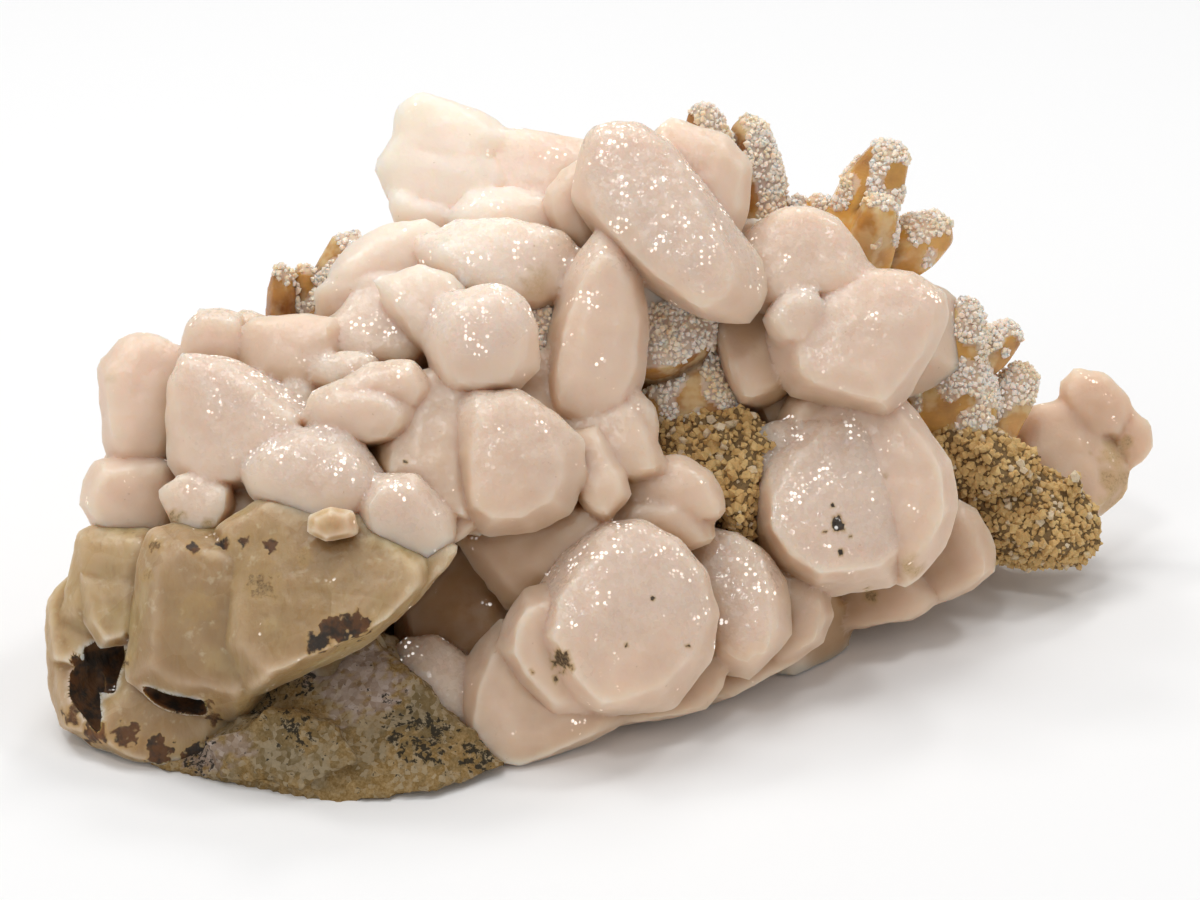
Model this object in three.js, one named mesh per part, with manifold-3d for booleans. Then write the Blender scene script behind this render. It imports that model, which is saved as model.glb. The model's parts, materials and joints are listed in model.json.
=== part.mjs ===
// A calcite and quartz specimen: rounded calcite crystals grown over quartz points, an iron-stained
// crust and a wall rock that is cut flat underneath. Millimetres, +Z up, the front faces -Y.
import * as THREE from "three";
import { ConvexGeometry } from "three/addons/geometries/ConvexGeometry.js";
import { mergeVertices } from "three/addons/utils/BufferGeometryUtils.js";
import Module from "manifold-3d";

const wasm = await Module();
wasm.setup();

// The front of the specimen is drawn on a sheet, as it is seen from in front and a little above.
// A place is [across, down] in steps of the sheet, with a depth in the same steps behind the foot.
const STEP = 1.45;
const VIEW_TILT = THREE.MathUtils.degToRad(25);
const VIEW_DISTANCE = 520;
const SHEET_MIDDLE = [60, 45];
const SHEET_FOOT = 80.3;
// From the sheet's middle line to the middle of the specimen's own box.
const BOX_MIDDLE = [4, 49];

const GAP = 0.6; // how much a neighbour is enlarged before it is cut out of a later piece
const FOOT_CLEARANCE = 0.5; // only the wall rock touches the surface
const FRONT_REACH = 0.62; // a crystal's reach towards the viewer, in mean radii of its outline
const FACE_SHARE = 0.55; // the size of the front face against the outline
const FACE_DROP = 0.12; // how far the front face sits below the middle, in mean radii
const FACE_LEAN = 0.5; // how far a front face may lean, up and down or sideways
const BACK_SHARE = 0.66; // the size of the back face, and its reach away from the viewer
const BACK_REACH = 0.6;
const TAIL_LENGTH = 16; // every crystal grows outwards from the core of the specimen
// The core: a line inside the specimen that runs along X, back to the right, at half the height.
const CORE_ACROSS = 0.86;
const CORE_DEPTH = 12;
const CORE_DEPTH_PER_X = 0.26;
const CORE_HEIGHT = 0.5;

const GOLDEN_ANGLE = Math.PI * (3 - Math.sqrt(5));

const sin = Math.sin(VIEW_TILT);
const cos = Math.cos(VIEW_TILT);
const footDrop = (SHEET_FOOT - SHEET_MIDDLE[1]) * STEP;

// Numbers from 0 to 1 that look random and are the same on every run.
const RANDOM_FACTOR = 16807;
const RANDOM_MODULUS = 2 ** 31 - 1;
const SEED_FACTOR = 7919;
const SEED_START = 104729;

function makeRandom(seed) {
  let state = seed * SEED_FACTOR + SEED_START;
  return () => {
    state = (state * RANDOM_FACTOR) % RANDOM_MODULUS;
    return state / RANDOM_MODULUS;
  };
}

// Where the numbers of each group of pieces start, and how far two of its members lie apart.
const SEEDS = {
  stained: 100,
  crustRight: 220,
  pair: 240,
  pits: 260,
  crustMiddle: 280,
  body: 300,
  rockBack: 320,
  back: 400,
  quartz: 500,
};
const SEED_STRIDE = 20;

// How far along the line of sight a place lies, in millimetres behind the sheet.
function alongSight(down, deep) {
  const up = (SHEET_MIDDLE[1] - down) * STEP;
  return (deep * STEP - footDrop * sin - up * sin) / (cos + (up * sin) / VIEW_DISTANCE);
}

// The point of the specimen that is seen at [across, down], that far along the line of sight.
function seen([across, down], along) {
  const widen = 1 + along / VIEW_DISTANCE;
  const right = (across - SHEET_MIDDLE[0]) * STEP * widen;
  const up = (SHEET_MIDDLE[1] - down) * STEP * widen;
  return new THREE.Vector3(
    right - BOX_MIDDLE[0],
    up * sin + along * cos + footDrop * sin - BOX_MIDDLE[1],
    up * cos - along * sin + footDrop * cos,
  );
}

const place = (across, down, deep) => seen([across, down], alongSight(down, deep));

function middleOf(points) {
  const sum = points.reduce(([a, b], [x, y]) => [a + x, b + y], [0, 0]);
  return [sum[0] / points.length, sum[1] / points.length];
}

function meanRadius(outline) {
  let twice = 0;
  outline.forEach(([x, y], i) => {
    const [nextX, nextY] = outline[(i + 1) % outline.length];
    twice += x * nextY - nextX * y;
  });
  return Math.sqrt(Math.abs(twice) / 2 / Math.PI);
}

// A crystal drawn by its outline: a leaning front face, the outline itself and a smaller back end.
function crystal(deep, ...outline) {
  return { deep, outline };
}

// The point of the core that a crystal at this place grows from.
const coreNear = ({ x, z }) =>
  new THREE.Vector3(x * CORE_ACROSS, CORE_DEPTH + CORE_DEPTH_PER_X * x, z * CORE_HEIGHT);

// An outline with more corners than this gives every third of them to its front face, not every
// second one. The back face has two or three corners.
const MANY_CORNERS = 7;

function crystalPoints({ deep, outline }, index, tailLength = TAIL_LENGTH) {
  const random = makeRandom(index + 1);
  const middle = middleOf(outline);
  const radius = meanRadius(outline) * STEP;
  const along = alongSight(middle[1], deep);
  const lean = [random() - 0.5, random() - 0.2].map((share) => share * FACE_LEAN);
  const centre = seen(middle, along);
  const ring = (step, share, shift, drop, leaning) =>
    outline.filter((_, i) => i % step === index % step).map(([x, y]) => {
      const dx = (x - middle[0]) * share;
      const dy = (y - middle[1]) * share;
      const leant = leaning * (dx * lean[0] - dy * lean[1]) * STEP;
      return seen([middle[0] + dx, middle[1] + dy + drop], along + shift * radius + leant);
    });
  return [
    ...ring(
      outline.length > MANY_CORNERS ? 3 : 2,
      FACE_SHARE,
      -FRONT_REACH,
      (FACE_DROP * radius) / STEP,
      1,
    ),
    ...outline.map((at) => seen(at, along)),
    ...ring(Math.ceil(outline.length / 3), BACK_SHARE, BACK_REACH, 0, 0),
    coreNear(centre).sub(centre).setLength(tailLength).add(centre),
  ];
}

// A many-sided lump: points spread over an ellipsoid, each moved in or out a little.
function lumpPoints(centre, radii, seed, count = 14, roughness = 0.2) {
  const random = makeRandom(seed);
  const start = random() * Math.PI * 2;
  return Array.from({ length: count }, (_, i) => {
    const z = 1 - (2 * i + 1) / count;
    const around = Math.sqrt(1 - z * z);
    const reach = 1 + roughness * (random() - 0.5);
    return new THREE.Vector3(
      centre.x + radii[0] * reach * around * Math.cos(GOLDEN_ANGLE * i + start),
      centre.y + radii[1] * reach * around * Math.sin(GOLDEN_ANGLE * i + start),
      centre.z + radii[2] * reach * z,
    );
  });
}

// A six-sided quartz point from its foot to its tip, widening a little downwards.
const QUARTZ_SIDES = 6;
const QUARTZ_FOOT_WIDTH = 1.05;
const QUARTZ_CAP_SHARE = 0.4;

function quartzPoints(foot, tip, radius, twist) {
  const axis = tip.clone().sub(foot);
  const side = new THREE.Vector3(axis.z, 0, -axis.x).normalize();
  const other = axis.clone().cross(side).normalize();
  const ring = (share, width) =>
    Array.from({ length: QUARTZ_SIDES }, (_, i) => {
      const angle = twist + (i * Math.PI * 2) / QUARTZ_SIDES;
      return foot
        .clone()
        .addScaledVector(axis, share)
        .addScaledVector(side, Math.cos(angle) * radius * width)
        .addScaledVector(other, Math.sin(angle) * radius * width);
    });
  return [...ring(0, QUARTZ_FOOT_WIDTH), ...ring(1 - QUARTZ_CAP_SHARE, 1), tip.clone()];
}

// The same points, each moved out from their middle by a distance.
function grown(points, by) {
  if (!by) return points;
  const middle = points.reduce((a, p) => a.add(p), new THREE.Vector3()).divideScalar(points.length);
  return points.map((p) => {
    const out = p.clone().sub(middle);
    return p.clone().addScaledVector(out.normalize(), by);
  });
}

const WELD = 1e-4; // corners this close are one corner

function toManifold(geometry) {
  const bare = geometry.clone();
  bare.deleteAttribute("normal");
  bare.deleteAttribute("uv");
  const merged = mergeVertices(bare, WELD);
  const triVerts = merged.index
    ? new Uint32Array(merged.index.array)
    : Uint32Array.from({ length: merged.attributes.position.count }, (_, i) => i);
  return new wasm.Manifold(
    new wasm.Mesh({ numProp: 3, vertProperties: merged.attributes.position.array, triVerts }),
  );
}

const hull = (points) => toManifold(new ConvexGeometry(points));

const joined = (pieces, by = 0) =>
  pieces.map((points) => hull(grown(points, by))).reduce((whole, piece) => whole.add(piece));

// What stands over a level, cut off flat there by a block wider than the specimen.
const BLOCK_WIDTH = 400;
const BLOCK_HEIGHT = 100;

function above(solid, level) {
  const block = new THREE.BoxGeometry(BLOCK_WIDTH, BLOCK_WIDTH, BLOCK_HEIGHT);
  block.translate(0, 0, level - BLOCK_HEIGHT / 2);
  return solid.subtract(toManifold(block));
}

const largest = (solid) =>
  solid.decompose().reduce((best, piece) => (piece.volume() > best.volume() ? piece : best));

// Calcite crystals of the main cluster, as they are drawn from the front.
const clusterCrystals = [
  // Left end, over the stained block
  crystal(28, [10.2, 36.5], [13.2, 33.8], [16.5, 34], [18.5, 36.5], [18, 42], [16, 45.5],
    [11.8, 45.6], [10.6, 43]),
  crystal(22, [10, 46.2], [13, 45.7], [16.8, 46.2], [17.2, 50], [16.6, 52.4], [14.5, 53],
    [9.6, 52.6], [8.2, 50.3], [8.9, 48]),
  crystal(17, [16.6, 49.5], [18, 47.8], [20.5, 47.6], [23, 48.6], [22.8, 50.5], [21.8, 52.6],
    [19.6, 53.6], [17.6, 52.6]),
  crystal(22, [17.3, 38.5], [18.5, 35.8], [23, 36.3], [27.5, 38.5], [30.3, 41], [29.8, 44.5],
    [26.8, 47.4], [23, 48], [19.8, 48.2], [18.2, 45.5]),
  crystal(30, [18.3, 35.5], [18.8, 32.5], [20, 31], [22, 30.9], [24, 31.6], [24.3, 34.5],
    [23.6, 36.8], [19.6, 37]),
  crystal(28, [24.3, 34.5], [25.5, 32.6], [29, 31.8], [33.3, 31.9], [33.6, 35], [31.6, 37.8],
    [28, 38], [24.6, 37]),
  // Middle of the front
  crystal(16, [24.4, 46.5], [26.5, 44.4], [30, 43], [34, 43.5], [36.3, 45.5], [37.5, 48],
    [36.2, 50.3], [35, 51.8], [31, 52], [29.8, 50.3], [25.8, 49]),
  crystal(20, [31, 42], [31.8, 40], [34, 38.8], [38, 39], [40.5, 40.5], [40.3, 42.3], [39, 43.6],
    [36, 43.9], [33, 44]),
  crystal(25, [30.8, 36.6], [32, 35.6], [36, 35.3], [37.6, 36], [37, 37.4], [34, 38.2], [31.5, 38]),
  crystal(22, [33.5, 38.6], [37.2, 36.8], [41, 36.3], [42.4, 38.6], [41.6, 40.4], [38, 40.4]),
  crystal(30, [33.4, 32], [36, 30], [40, 29.2], [43, 31], [43.8, 34], [42, 35.4], [38, 36],
    [33.5, 35.6]),
  crystal(29, [38.5, 28.4], [42, 26.8], [45, 27.6], [46.5, 29], [45.6, 32], [43, 35.3], [41, 33],
    [39, 30.5]),
  crystal(25, [43.3, 33.5], [44.6, 30.5], [46.5, 28.9], [50, 28.8], [52.3, 30.5], [53.4, 33],
    [52.8, 36], [51, 37.9], [48, 38.6], [45, 38.2], [43.5, 36]),
  crystal(20, [40.6, 40.2], [43, 37.6], [46.5, 38.2], [48.2, 41], [47.6, 48], [47, 51.6],
    [44.8, 51.4], [42.6, 49], [40, 47.6], [38.4, 46.6], [38.6, 43.4]),
  crystal(18, [46.8, 41.5], [47.6, 39.6], [51.8, 39.6], [54.6, 41.4], [57, 44.3], [57.2, 47],
    [55.8, 50], [53, 51.6], [49, 51.9], [46.8, 50.3], [46.3, 45]),
  crystal(13, [36.3, 50], [37.8, 47.6], [41.6, 47.6], [43.2, 49.6], [44.6, 51.5], [45.2, 53.8],
    [43, 55.8], [40, 54.6], [37.8, 53.9], [36.4, 52.4]),
  crystal(27, [50.4, 38.6], [53, 35.4], [55.4, 35.6], [57.2, 40], [57.6, 43.4], [55, 42.6],
    [52, 40.6]),
  // Lower middle
  crystal(13, [54.8, 58.5], [57.5, 55.3], [60.5, 53], [64, 52.6], [67.5, 54.2], [70, 57.5],
    [71.2, 61.5], [70.4, 65.5], [66.5, 68.6], [60, 70.7], [57, 68], [54, 63]),
  crystal(11, [51, 62], [52.6, 59.5], [55.5, 58.5], [58.5, 60.5], [60, 64], [59.8, 68],
    [58.5, 70], [55.5, 70.3], [52.6, 67.6], [50.8, 64.8]),
  crystal(20, [69.6, 55], [70.8, 53.8], [73.5, 53.5], [76, 55], [77.6, 58.5], [78, 62.5],
    [77, 65.3], [74.5, 66.4], [71.8, 65.5], [70.6, 62]),
  crystal(24, [76, 55.5], [79, 56], [82.3, 58.3], [83, 61.5], [82, 64], [79.5, 65.6],
    [76.5, 66.3], [75.5, 62], [75, 58]),
  crystal(20, [47.3, 54], [48.6, 51.7], [53, 51.2], [56.5, 49.6], [59.5, 50], [62, 52],
    [60.5, 56], [56, 60], [51.6, 59.6], [49.5, 57]),
  crystal(20, [56.4, 44.3], [59.5, 43.4], [61.6, 46.5], [62.4, 49], [60.5, 51.5], [59, 50.6],
    [57, 48]),
  crystal(23, [61, 47], [64, 46], [68, 45.8], [70.8, 47.3], [72.3, 50.2], [72.2, 51.4], [70, 52],
    [66, 51.5], [62.4, 50.6]),
  crystal(21, [60, 51.5], [63, 49.8], [67.5, 49.8], [70, 51.5], [70.6, 53.8], [68.6, 55],
    [65.5, 54.6], [60.6, 54.2]),
  crystal(24, [56.2, 42], [58.4, 40.4], [63, 40.8], [65, 43], [66, 46.5], [63, 47.6], [60, 46],
    [57.2, 44.4]),
  crystal(26, [61, 40.8], [63.4, 38.8], [65.3, 40.8], [65.9, 43.2], [65.4, 44.6], [63.5, 43.6],
    [61.5, 42.5]),
  crystal(22, [40, 60.5], [43.5, 57], [47.2, 53.6], [49.8, 56.6], [51.6, 59.6], [51, 62.8],
    [48.3, 65.4], [45.5, 66.8], [41, 66]),
  crystal(13, [38.5, 66], [40.6, 64], [43.6, 63.8], [46.5, 65.6], [47.6, 69], [47.5, 72.5],
    [45, 73.2], [42, 71.6], [39.8, 69.2]),
  crystal(11, [47, 68], [48.6, 64], [50.4, 62.6], [53, 66], [57, 69.6], [61.5, 71], [60.5, 72.9],
    [56, 75], [52, 76.4], [48.5, 75.6], [46.2, 73.5]),
  crystal(14, [57, 70], [62, 70], [67, 67.6], [71, 65.6], [72.6, 67.8], [70, 70.9], [66, 71.6],
    [62, 72.2], [59, 72.6]),
  crystal(21, [70, 65.6], [74, 65.4], [78, 65], [81.8, 63.4], [80.5, 65.6], [77, 67.3],
    [73, 69.6], [70.5, 70]),
  // Upper middle
  crystal(30, [55.2, 41], [55, 37], [56.5, 30], [58, 25.8], [60, 23.5], [62, 24.2], [63.8, 27.5],
    [64.4, 31], [64.2, 36], [62.5, 40], [60, 42], [57, 42]),
  crystal(35, [43, 24.5], [46, 22.4], [51, 22.2], [56, 23.4], [57.3, 25.6], [56.8, 28.5],
    [55, 29.8], [51, 29.8], [47, 29], [44, 27]),
  crystal(37, [32.8, 27], [35.5, 24.5], [39, 22.6], [42.5, 22.3], [44.8, 24.6], [45, 27],
    [42, 28.4], [38, 28.4], [34, 28]),
  crystal(34, [31.6, 29], [34, 27.3], [38, 27], [41, 28], [38, 29.8], [34.5, 30.6], [32.4, 32]),
  crystal(50, [39.3, 13.5], [40, 11], [42, 9.7], [44, 10], [48, 11.2], [50.8, 13.2], [49, 16],
    [44, 16.5], [40, 15.5]),
  crystal(47, [38, 16.5], [39.4, 14.2], [44, 14], [49, 15], [51, 17.5], [49, 20], [45.5, 21.5],
    [41, 20.8], [39, 19.5]),
  crystal(44, [38.7, 18.8], [42, 19.6], [45.4, 20.6], [45, 23.4], [41, 23.6], [39.4, 22]),
  crystal(47, [48.5, 14.5], [50, 13], [54, 14.1], [58.8, 14.8], [58.6, 17], [56.6, 19],
    [55.8, 22], [51.5, 21.5], [48.5, 19]),
  crystal(42, [45.5, 21.6], [47.5, 19.6], [51, 19.2], [54.5, 20], [55.4, 22.5], [51, 23.6],
    [46.5, 23.4]),
  crystal(41, [55, 19], [57, 16.8], [59, 16.2], [61, 19], [60.6, 22.6], [58.4, 24.4], [56, 22.8],
    [55, 21]),
  crystal(36, [58.2, 18], [58.9, 15], [60.4, 13.3], [64, 13], [66.4, 14.2], [69.2, 17.5],
    [72, 21.5], [74, 25], [74.4, 28], [73, 30], [70.6, 31.2], [67.6, 28.8], [64, 26.4],
    [61, 22.8], [59, 20.6]),
  crystal(42, [65.6, 14.2], [67.3, 12.1], [70, 13.4], [72.6, 13.7], [74.9, 16.5], [74.6, 19.5],
    [73.6, 22], [72.8, 23.4], [70.5, 19.5], [68, 16.8]),
  crystal(40, [74, 24.6], [76, 22.6], [78.8, 21.2], [81.5, 21.2], [83.8, 22.2], [85.3, 25],
    [86.6, 27.4], [84, 28.8], [80, 29.2], [76.5, 30], [74.2, 28]),
  crystal(35, [78.6, 33.5], [80.6, 30.5], [82.5, 28.8], [87, 27.5], [91, 27.6], [94, 29.6],
    [94.3, 32], [93, 35], [90.5, 38], [88.5, 40.2], [84.5, 39.3], [80.5, 38], [79, 36.4]),
  crystal(34, [77, 31.6], [78.6, 29.3], [81.8, 28.7], [82.4, 31.5], [80.6, 34], [78.4, 33.8]),
  crystal(37, [71.8, 32], [75, 29.6], [77.6, 29.6], [78.6, 33], [79.2, 36], [78, 38.5],
    [76, 39.6], [74, 40.1], [72.4, 36.5]),
  crystal(38, [75.4, 40.2], [76.6, 37.6], [79.5, 36.8], [82.2, 38.9], [80, 42.4], [77, 42.7]),
  crystal(35, [78, 42], [80, 39.6], [82, 38.2], [86, 38.4], [89, 40], [88.4, 42.8], [83, 43.8],
    [79.2, 43.4]),
  // Right of the middle
  crystal(28, [76, 49], [78.5, 44.6], [83, 42.4], [88, 42.6], [91.6, 45.5], [92.8, 50],
    [91.4, 54.4], [88.4, 56.7], [82, 57.5], [78.4, 55.2], [76, 52]),
  crystal(30, [82, 42.5], [85, 40.4], [89, 40.2], [91.8, 42.2], [94.8, 46], [95.3, 50.5],
    [94, 53.8], [90.4, 56.8], [88, 50]),
  crystal(29, [75.3, 49.5], [76.4, 46], [79, 44], [81.4, 47], [80.4, 53], [77.2, 54.6], [75.4, 53]),
  crystal(31, [74.2, 44.6], [75.6, 42.9], [78, 42.5], [80.4, 43.2], [80.4, 45.8], [78, 48.2],
    [75.4, 48], [74, 46.5]),
  crystal(37, [89.6, 58.5], [91, 55.6], [94, 53.6], [95.6, 50.2], [97.6, 51.6], [98.8, 54.5],
    [99.2, 57], [97, 58.8], [93, 60.2], [90, 60.4]),
  crystal(33, [82.8, 60.5], [83.4, 57.4], [87, 56], [90, 56.6], [91.8, 59], [93.6, 60.4],
    [91, 61.8], [86, 62.6], [83, 62.5]),
];

// Body of the cluster behind the drawn crystals, each lump by its middle [across, down, deep] and
// its radius in millimetres.
const BODY_CORNERS = 12;
const BODY_ROUGHNESS = 0.1;
const clusterBody = [
  [[23, 46, 40], 14],
  [[14, 49, 31], 9],
  [[24, 50, 30], 12],
  [[31, 46.5, 26], 11],
  [[40, 51, 23], 11],
  [[48, 50, 34], 14],
  [[36, 48, 36], 21],
  [[46, 34, 46], 17],
  [[58, 56, 34], 19],
  [[64, 36, 52], 19],
  [[80, 48, 48], 18],
  [[78, 62, 34], 13],
  [[54, 68, 22], 12],
  [[47, 69, 19], 9],
  [[71, 55, 31], 9],
  [[94, 52, 52], 13],
];

// The back of the specimen is crystals too, in rows from the ridge down to the wall rock.
const BACK_ROWS = 3;
const BACK_COLUMNS = 6;
const BACK_DEPTH = 22;
const BACK_LEFT = -60;
const BACK_PITCH = 20;
const BACK_RADIUS = 11;
const BACK_RADIUS_SPREAD = 4;
const BACK_SHIFT = [5, 3]; // how much a crystal's place may differ, across and in depth
const BACK_CORNERS = 12;
const BACK_ROUGHNESS = 0.25;
const ROWS_TO_FOOT = BACK_ROWS + 0.7;
const LEAST_HEIGHT = 0.7; // of a crystal's middle over the surface, in radii
const RIDGE_OVERLAP = 0.5; // how far the top row stands under the ridge, in radii
const LEAST_WIDTH = [0.9, 0.8]; // across and upright, in radii, each up to WIDTH_SPREAD more
const WIDTH_SPREAD = 0.4;
// The ridge is highest a little left of the middle and runs back to the right.
const RIDGE_TOP = 64;
const RIDGE_TOP_AT = -6;
const RIDGE_FALL = 0.0062;
const RIDGE_DEPTH = 11;
const RIDGE_DEPTH_PER_X = 0.2;
const ridgeHeight = (x) => RIDGE_TOP - RIDGE_FALL * (x - RIDGE_TOP_AT) ** 2;
const ridgeDepth = (x) => RIDGE_DEPTH + RIDGE_DEPTH_PER_X * x;

function backCrystals() {
  const made = [];
  for (let row = 0; row < BACK_ROWS; row++) {
    for (let column = 0; column < BACK_COLUMNS; column++) {
      const seed = SEEDS.back + row * BACK_COLUMNS + column;
      const random = makeRandom(seed);
      const shift = BACK_SHIFT[0] * (random() - 0.5);
      const x = BACK_LEFT + (column + 0.5 * (row % 2)) * BACK_PITCH + shift;
      const slope = ((row + 0.5) / ROWS_TO_FOOT) * (Math.PI / 2);
      const radius = BACK_RADIUS + BACK_RADIUS_SPREAD * random();
      const centre = new THREE.Vector3(
        x,
        ridgeDepth(x) + BACK_DEPTH * Math.sin(slope) + BACK_SHIFT[1] * (random() - 0.5),
        Math.max(
          radius * LEAST_HEIGHT,
          ridgeHeight(x) * Math.cos(slope) - radius * RIDGE_OVERLAP,
        ),
      );
      const [wide, high] = LEAST_WIDTH.map((least) => radius * (least + WIDTH_SPREAD * random()));
      made.push(lumpPoints(centre, [wide, radius, high], seed, BACK_CORNERS, BACK_ROUGHNESS));
    }
  }
  return made;
}

// Yellow-stained calcite at the left, broken along its flat cleavage.
const stainedCrystals = [
  crystal(17, [8, 53.5], [9.6, 52.8], [14.4, 53.1], [15.4, 54.5], [14.8, 58], [14.4, 61.3],
    [10, 63], [7, 61], [7.4, 57]),
  crystal(17, [5, 60], [7.6, 57], [10.4, 57.5], [11, 60], [10, 64.5], [8, 66.5], [5.2, 66],
    [4.8, 63]),
  crystal(14, [8.6, 58], [12, 57], [14.5, 58.2], [14.5, 61.4], [12.5, 63.5], [10.4, 63.9], [9, 62]),
  crystal(11, [14.4, 56.5], [15.6, 53.6], [18, 52.8], [22, 53.2], [26, 54.3], [29, 57], [30, 62],
    [28, 66.5], [23.5, 69.5], [17.5, 68.5], [14.4, 66]),
  crystal(10, [22.5, 53], [27, 50.5], [31, 51], [36, 51.5], [39.5, 54], [43, 55.6], [43, 57.5],
    [41, 59.5], [39.6, 61.2], [36, 63], [30, 66], [26, 67.5], [22.6, 64]),
  crystal(11, [39, 54.6], [43.6, 55], [46, 54.4], [44.6, 56.6], [42, 59.3], [40.2, 59.3],
    [38.6, 58]),
  crystal(8.5, [31.3, 51.6], [33, 50.7], [35, 51.2], [35.2, 53.2], [32.6, 53.8], [31.2, 53]),
  crystal(14, [5.2, 65], [8, 63.4], [12.3, 63.4], [15, 66], [14.6, 69.6], [11.8, 72], [9.8, 74],
    [6.4, 72.3], [5.2, 69]),
  crystal(11, [9, 71.4], [13, 66], [20, 66.4], [26, 67], [30, 67.6], [27, 71.6], [22, 74.6],
    [16, 76.4], [12.4, 75.6], [9, 73.6]),
  crystal(19, [7, 60], [14, 56], [28, 56], [36, 60], [34, 65], [22, 72], [10, 72]),
  crystal(12, [30, 66], [33.6, 63.4], [37, 63.3], [38.8, 65.6], [39.9, 68.4], [38.6, 69.8],
    [35, 70.6], [32, 69.4]),
];

// Hollows in the stained block where crystals have dissolved and left rust, drawn like crystals.
const PIT_DEPTH = 4;
const stainedPits = [
  crystal(8.5, [8.4, 64.8], [10.2, 64], [12.2, 64.2], [12.2, 67], [11.6, 69.3], [9.8, 69],
    [8.6, 67.6]),
  crystal(9, [6.6, 66.6], [7.4, 65.2], [8, 67.5], [8.8, 70], [10.6, 72.4], [10, 73.8],
    [8.4, 71.6], [6.9, 69.6]),
  crystal(7, [14.2, 69.3], [16.6, 67.2], [18.8, 68.2], [20.6, 69.5], [20.2, 71.6], [17.8, 71.4],
    [15.4, 70.4]),
];

// Wall rock: the face seen at the lower left by its corners [across, down, deep], then a low slab
// under the whole specimen.
const rockFront = [
  [[15, 75, 8], [21, 70, 10], [30, 64.5, 12], [37, 63, 13], [42, 68, 10], [47, 75, 6], [51, 76.9, 5]],
  [[43.5, 79.2, 0.5], [38, 80, 0], [34, 80.3, 0], [27, 79, 1], [20, 77.5, 4], [15, 76.6, 7]],
  [[18, 72, 26], [32, 64, 30], [46, 66, 30], [50, 70, 26]],
].flat();
const rockLedge = [
  [[20, 74, 3.5], [27, 71, 4.5], [33, 72, 4], [36, 76, 1.5], [30, 79, 0.4], [22, 77.8, 3]],
  [[20, 72, 14], [34, 70, 14], [36, 76, 12]],
].flat();
// The slab by its corners [x, y] in millimetres. It reaches below the surface, where it is cut flat.
const SLAB_HEIGHT = 9;
const SLAB_TOP_SHARE = 0.9;
const SLAB_BELOW = 4;
const rockSlab = [
  [-62, -12],
  [-46, -30],
  [-26, -38],
  [-12, -30],
  [12, -8],
  [40, 12],
  [60, 26],
  [60, 36],
  [36, 42],
  [-6, 40],
  [-40, 30],
  [-60, 10],
];

// Broken rock along the back, each lump by its middle and its reach in millimetres.
const ROCK_CORNERS = 16;
const ROCK_ROUGHNESS = 0.35;
const rockBack = [
  [[-54, 8, 9], [13, 12, 14]],
  [[-36, 22, 8], [15, 14, 17]],
  [[-16, 30, 10], [14, 13, 15]],
  [[6, 32, 7], [15, 13, 17]],
  [[28, 36, 9], [14, 12, 14]],
  [[50, 34, 6], [13, 12, 13]],
];

// Iron-stained crust, along the right and in a window at the middle.
const crustRight = [
  crystal(47, [94.6, 50], [95.4, 46], [99, 44.6], [104, 46], [108, 48.4], [110.2, 51.5],
    [110.3, 54.6], [108, 56.9], [103, 57], [99, 56.4], [97.4, 53]),
  crystal(46, [90.5, 43.5], [92.4, 41], [96.5, 41.4], [101, 43.4], [104.4, 45.6], [103, 49],
    [98, 50], [93, 48]),
];
const crustMiddle = [
  crystal(31, [65, 45], [66, 41.6], [70, 42], [74.6, 40.4], [78, 43], [76.6, 47], [75.6, 51],
    [75.6, 55], [73, 54], [71, 50], [68, 47]),
];

// Quartz groups. Each prism is [foot, tip, radius in millimetres, twist in degrees]; feet and tips
// are [across, down, deep].
const quartzGroups = {
  quartz_points_top: {
    prisms: [
      [[71.4, 21, 49], [70.2, 10.2, 49], 4.2, 10],
      [[76.4, 25, 48], [74.6, 11.2, 52], 4.9, 25],
      [[79.6, 22.4, 50], [80, 19.4, 51], 1.6, 0],
    ],
    crystals: [],
  },
  quartz_points_upper_right: {
    prisms: [
      [[83.6, 26, 52], [89.8, 13.9, 54], 5.6, 20],
      [[87, 27, 54], [95.2, 22.2, 54], 5.2, 10],
      [[85.6, 29, 51], [88.4, 19.6, 47], 4.4, 30],
      [[84, 23.5, 53], [80.8, 19.6, 54], 2.6, 0],
    ],
    crystals: [],
  },
  quartz_points_right: {
    prisms: [
      [[95, 38, 52], [102, 32.6, 54], 4.0, 12],
      [[96, 40, 50], [96.6, 29.6, 53], 4.4, 0],
      [[98.6, 44, 51], [103, 36.3, 54], 4.2, 20],
    ],
    crystals: [
      crystal(49, [90, 38.5], [93, 35], [97, 34], [98.6, 36.5], [99.6, 40], [99, 43.4], [95, 44],
        [91, 42.4]),
    ],
  },
  quartz_points_middle: {
    prisms: [],
    crystals: [
      crystal(36, [63.8, 39], [66.5, 36.6], [69.4, 36], [71, 34.6], [72.8, 37.5], [73.9, 40.4],
        [72.5, 42.4], [69, 43.4], [66, 42.8], [64.4, 41.4]),
      crystal(38, [62.6, 25.6], [64.4, 26.4], [69.5, 30.2], [71.8, 32], [71, 35], [67, 37],
        [63.6, 37.6]),
    ],
  },
  quartz_point_in_gap: {
    prisms: [],
    crystals: [crystal(32, [50, 38.6], [51.6, 31], [54.4, 29.5], [56, 30.8], [56.2, 36],
      [56, 42.4], [53, 40])],
  },
  quartz_points_left: {
    prisms: [
      [[28, 33.5, 38], [28.2, 26.3, 38], 2.3, 0],
      [[31.4, 33, 40], [30.2, 26.3, 40], 2.6, 25],
      [[35.5, 32, 38], [33.6, 26.8, 38], 3.2, 10],
    ],
    crystals: [
      crystal(39, [27.4, 31], [29, 28.6], [33, 28.4], [36, 33], [30, 33.6]),
      crystal(41, [31.6, 26.8], [33.4, 23.7], [35.6, 23.4], [37.4, 25], [35.6, 29.6], [32, 29.4]),
    ],
  },
};

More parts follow.
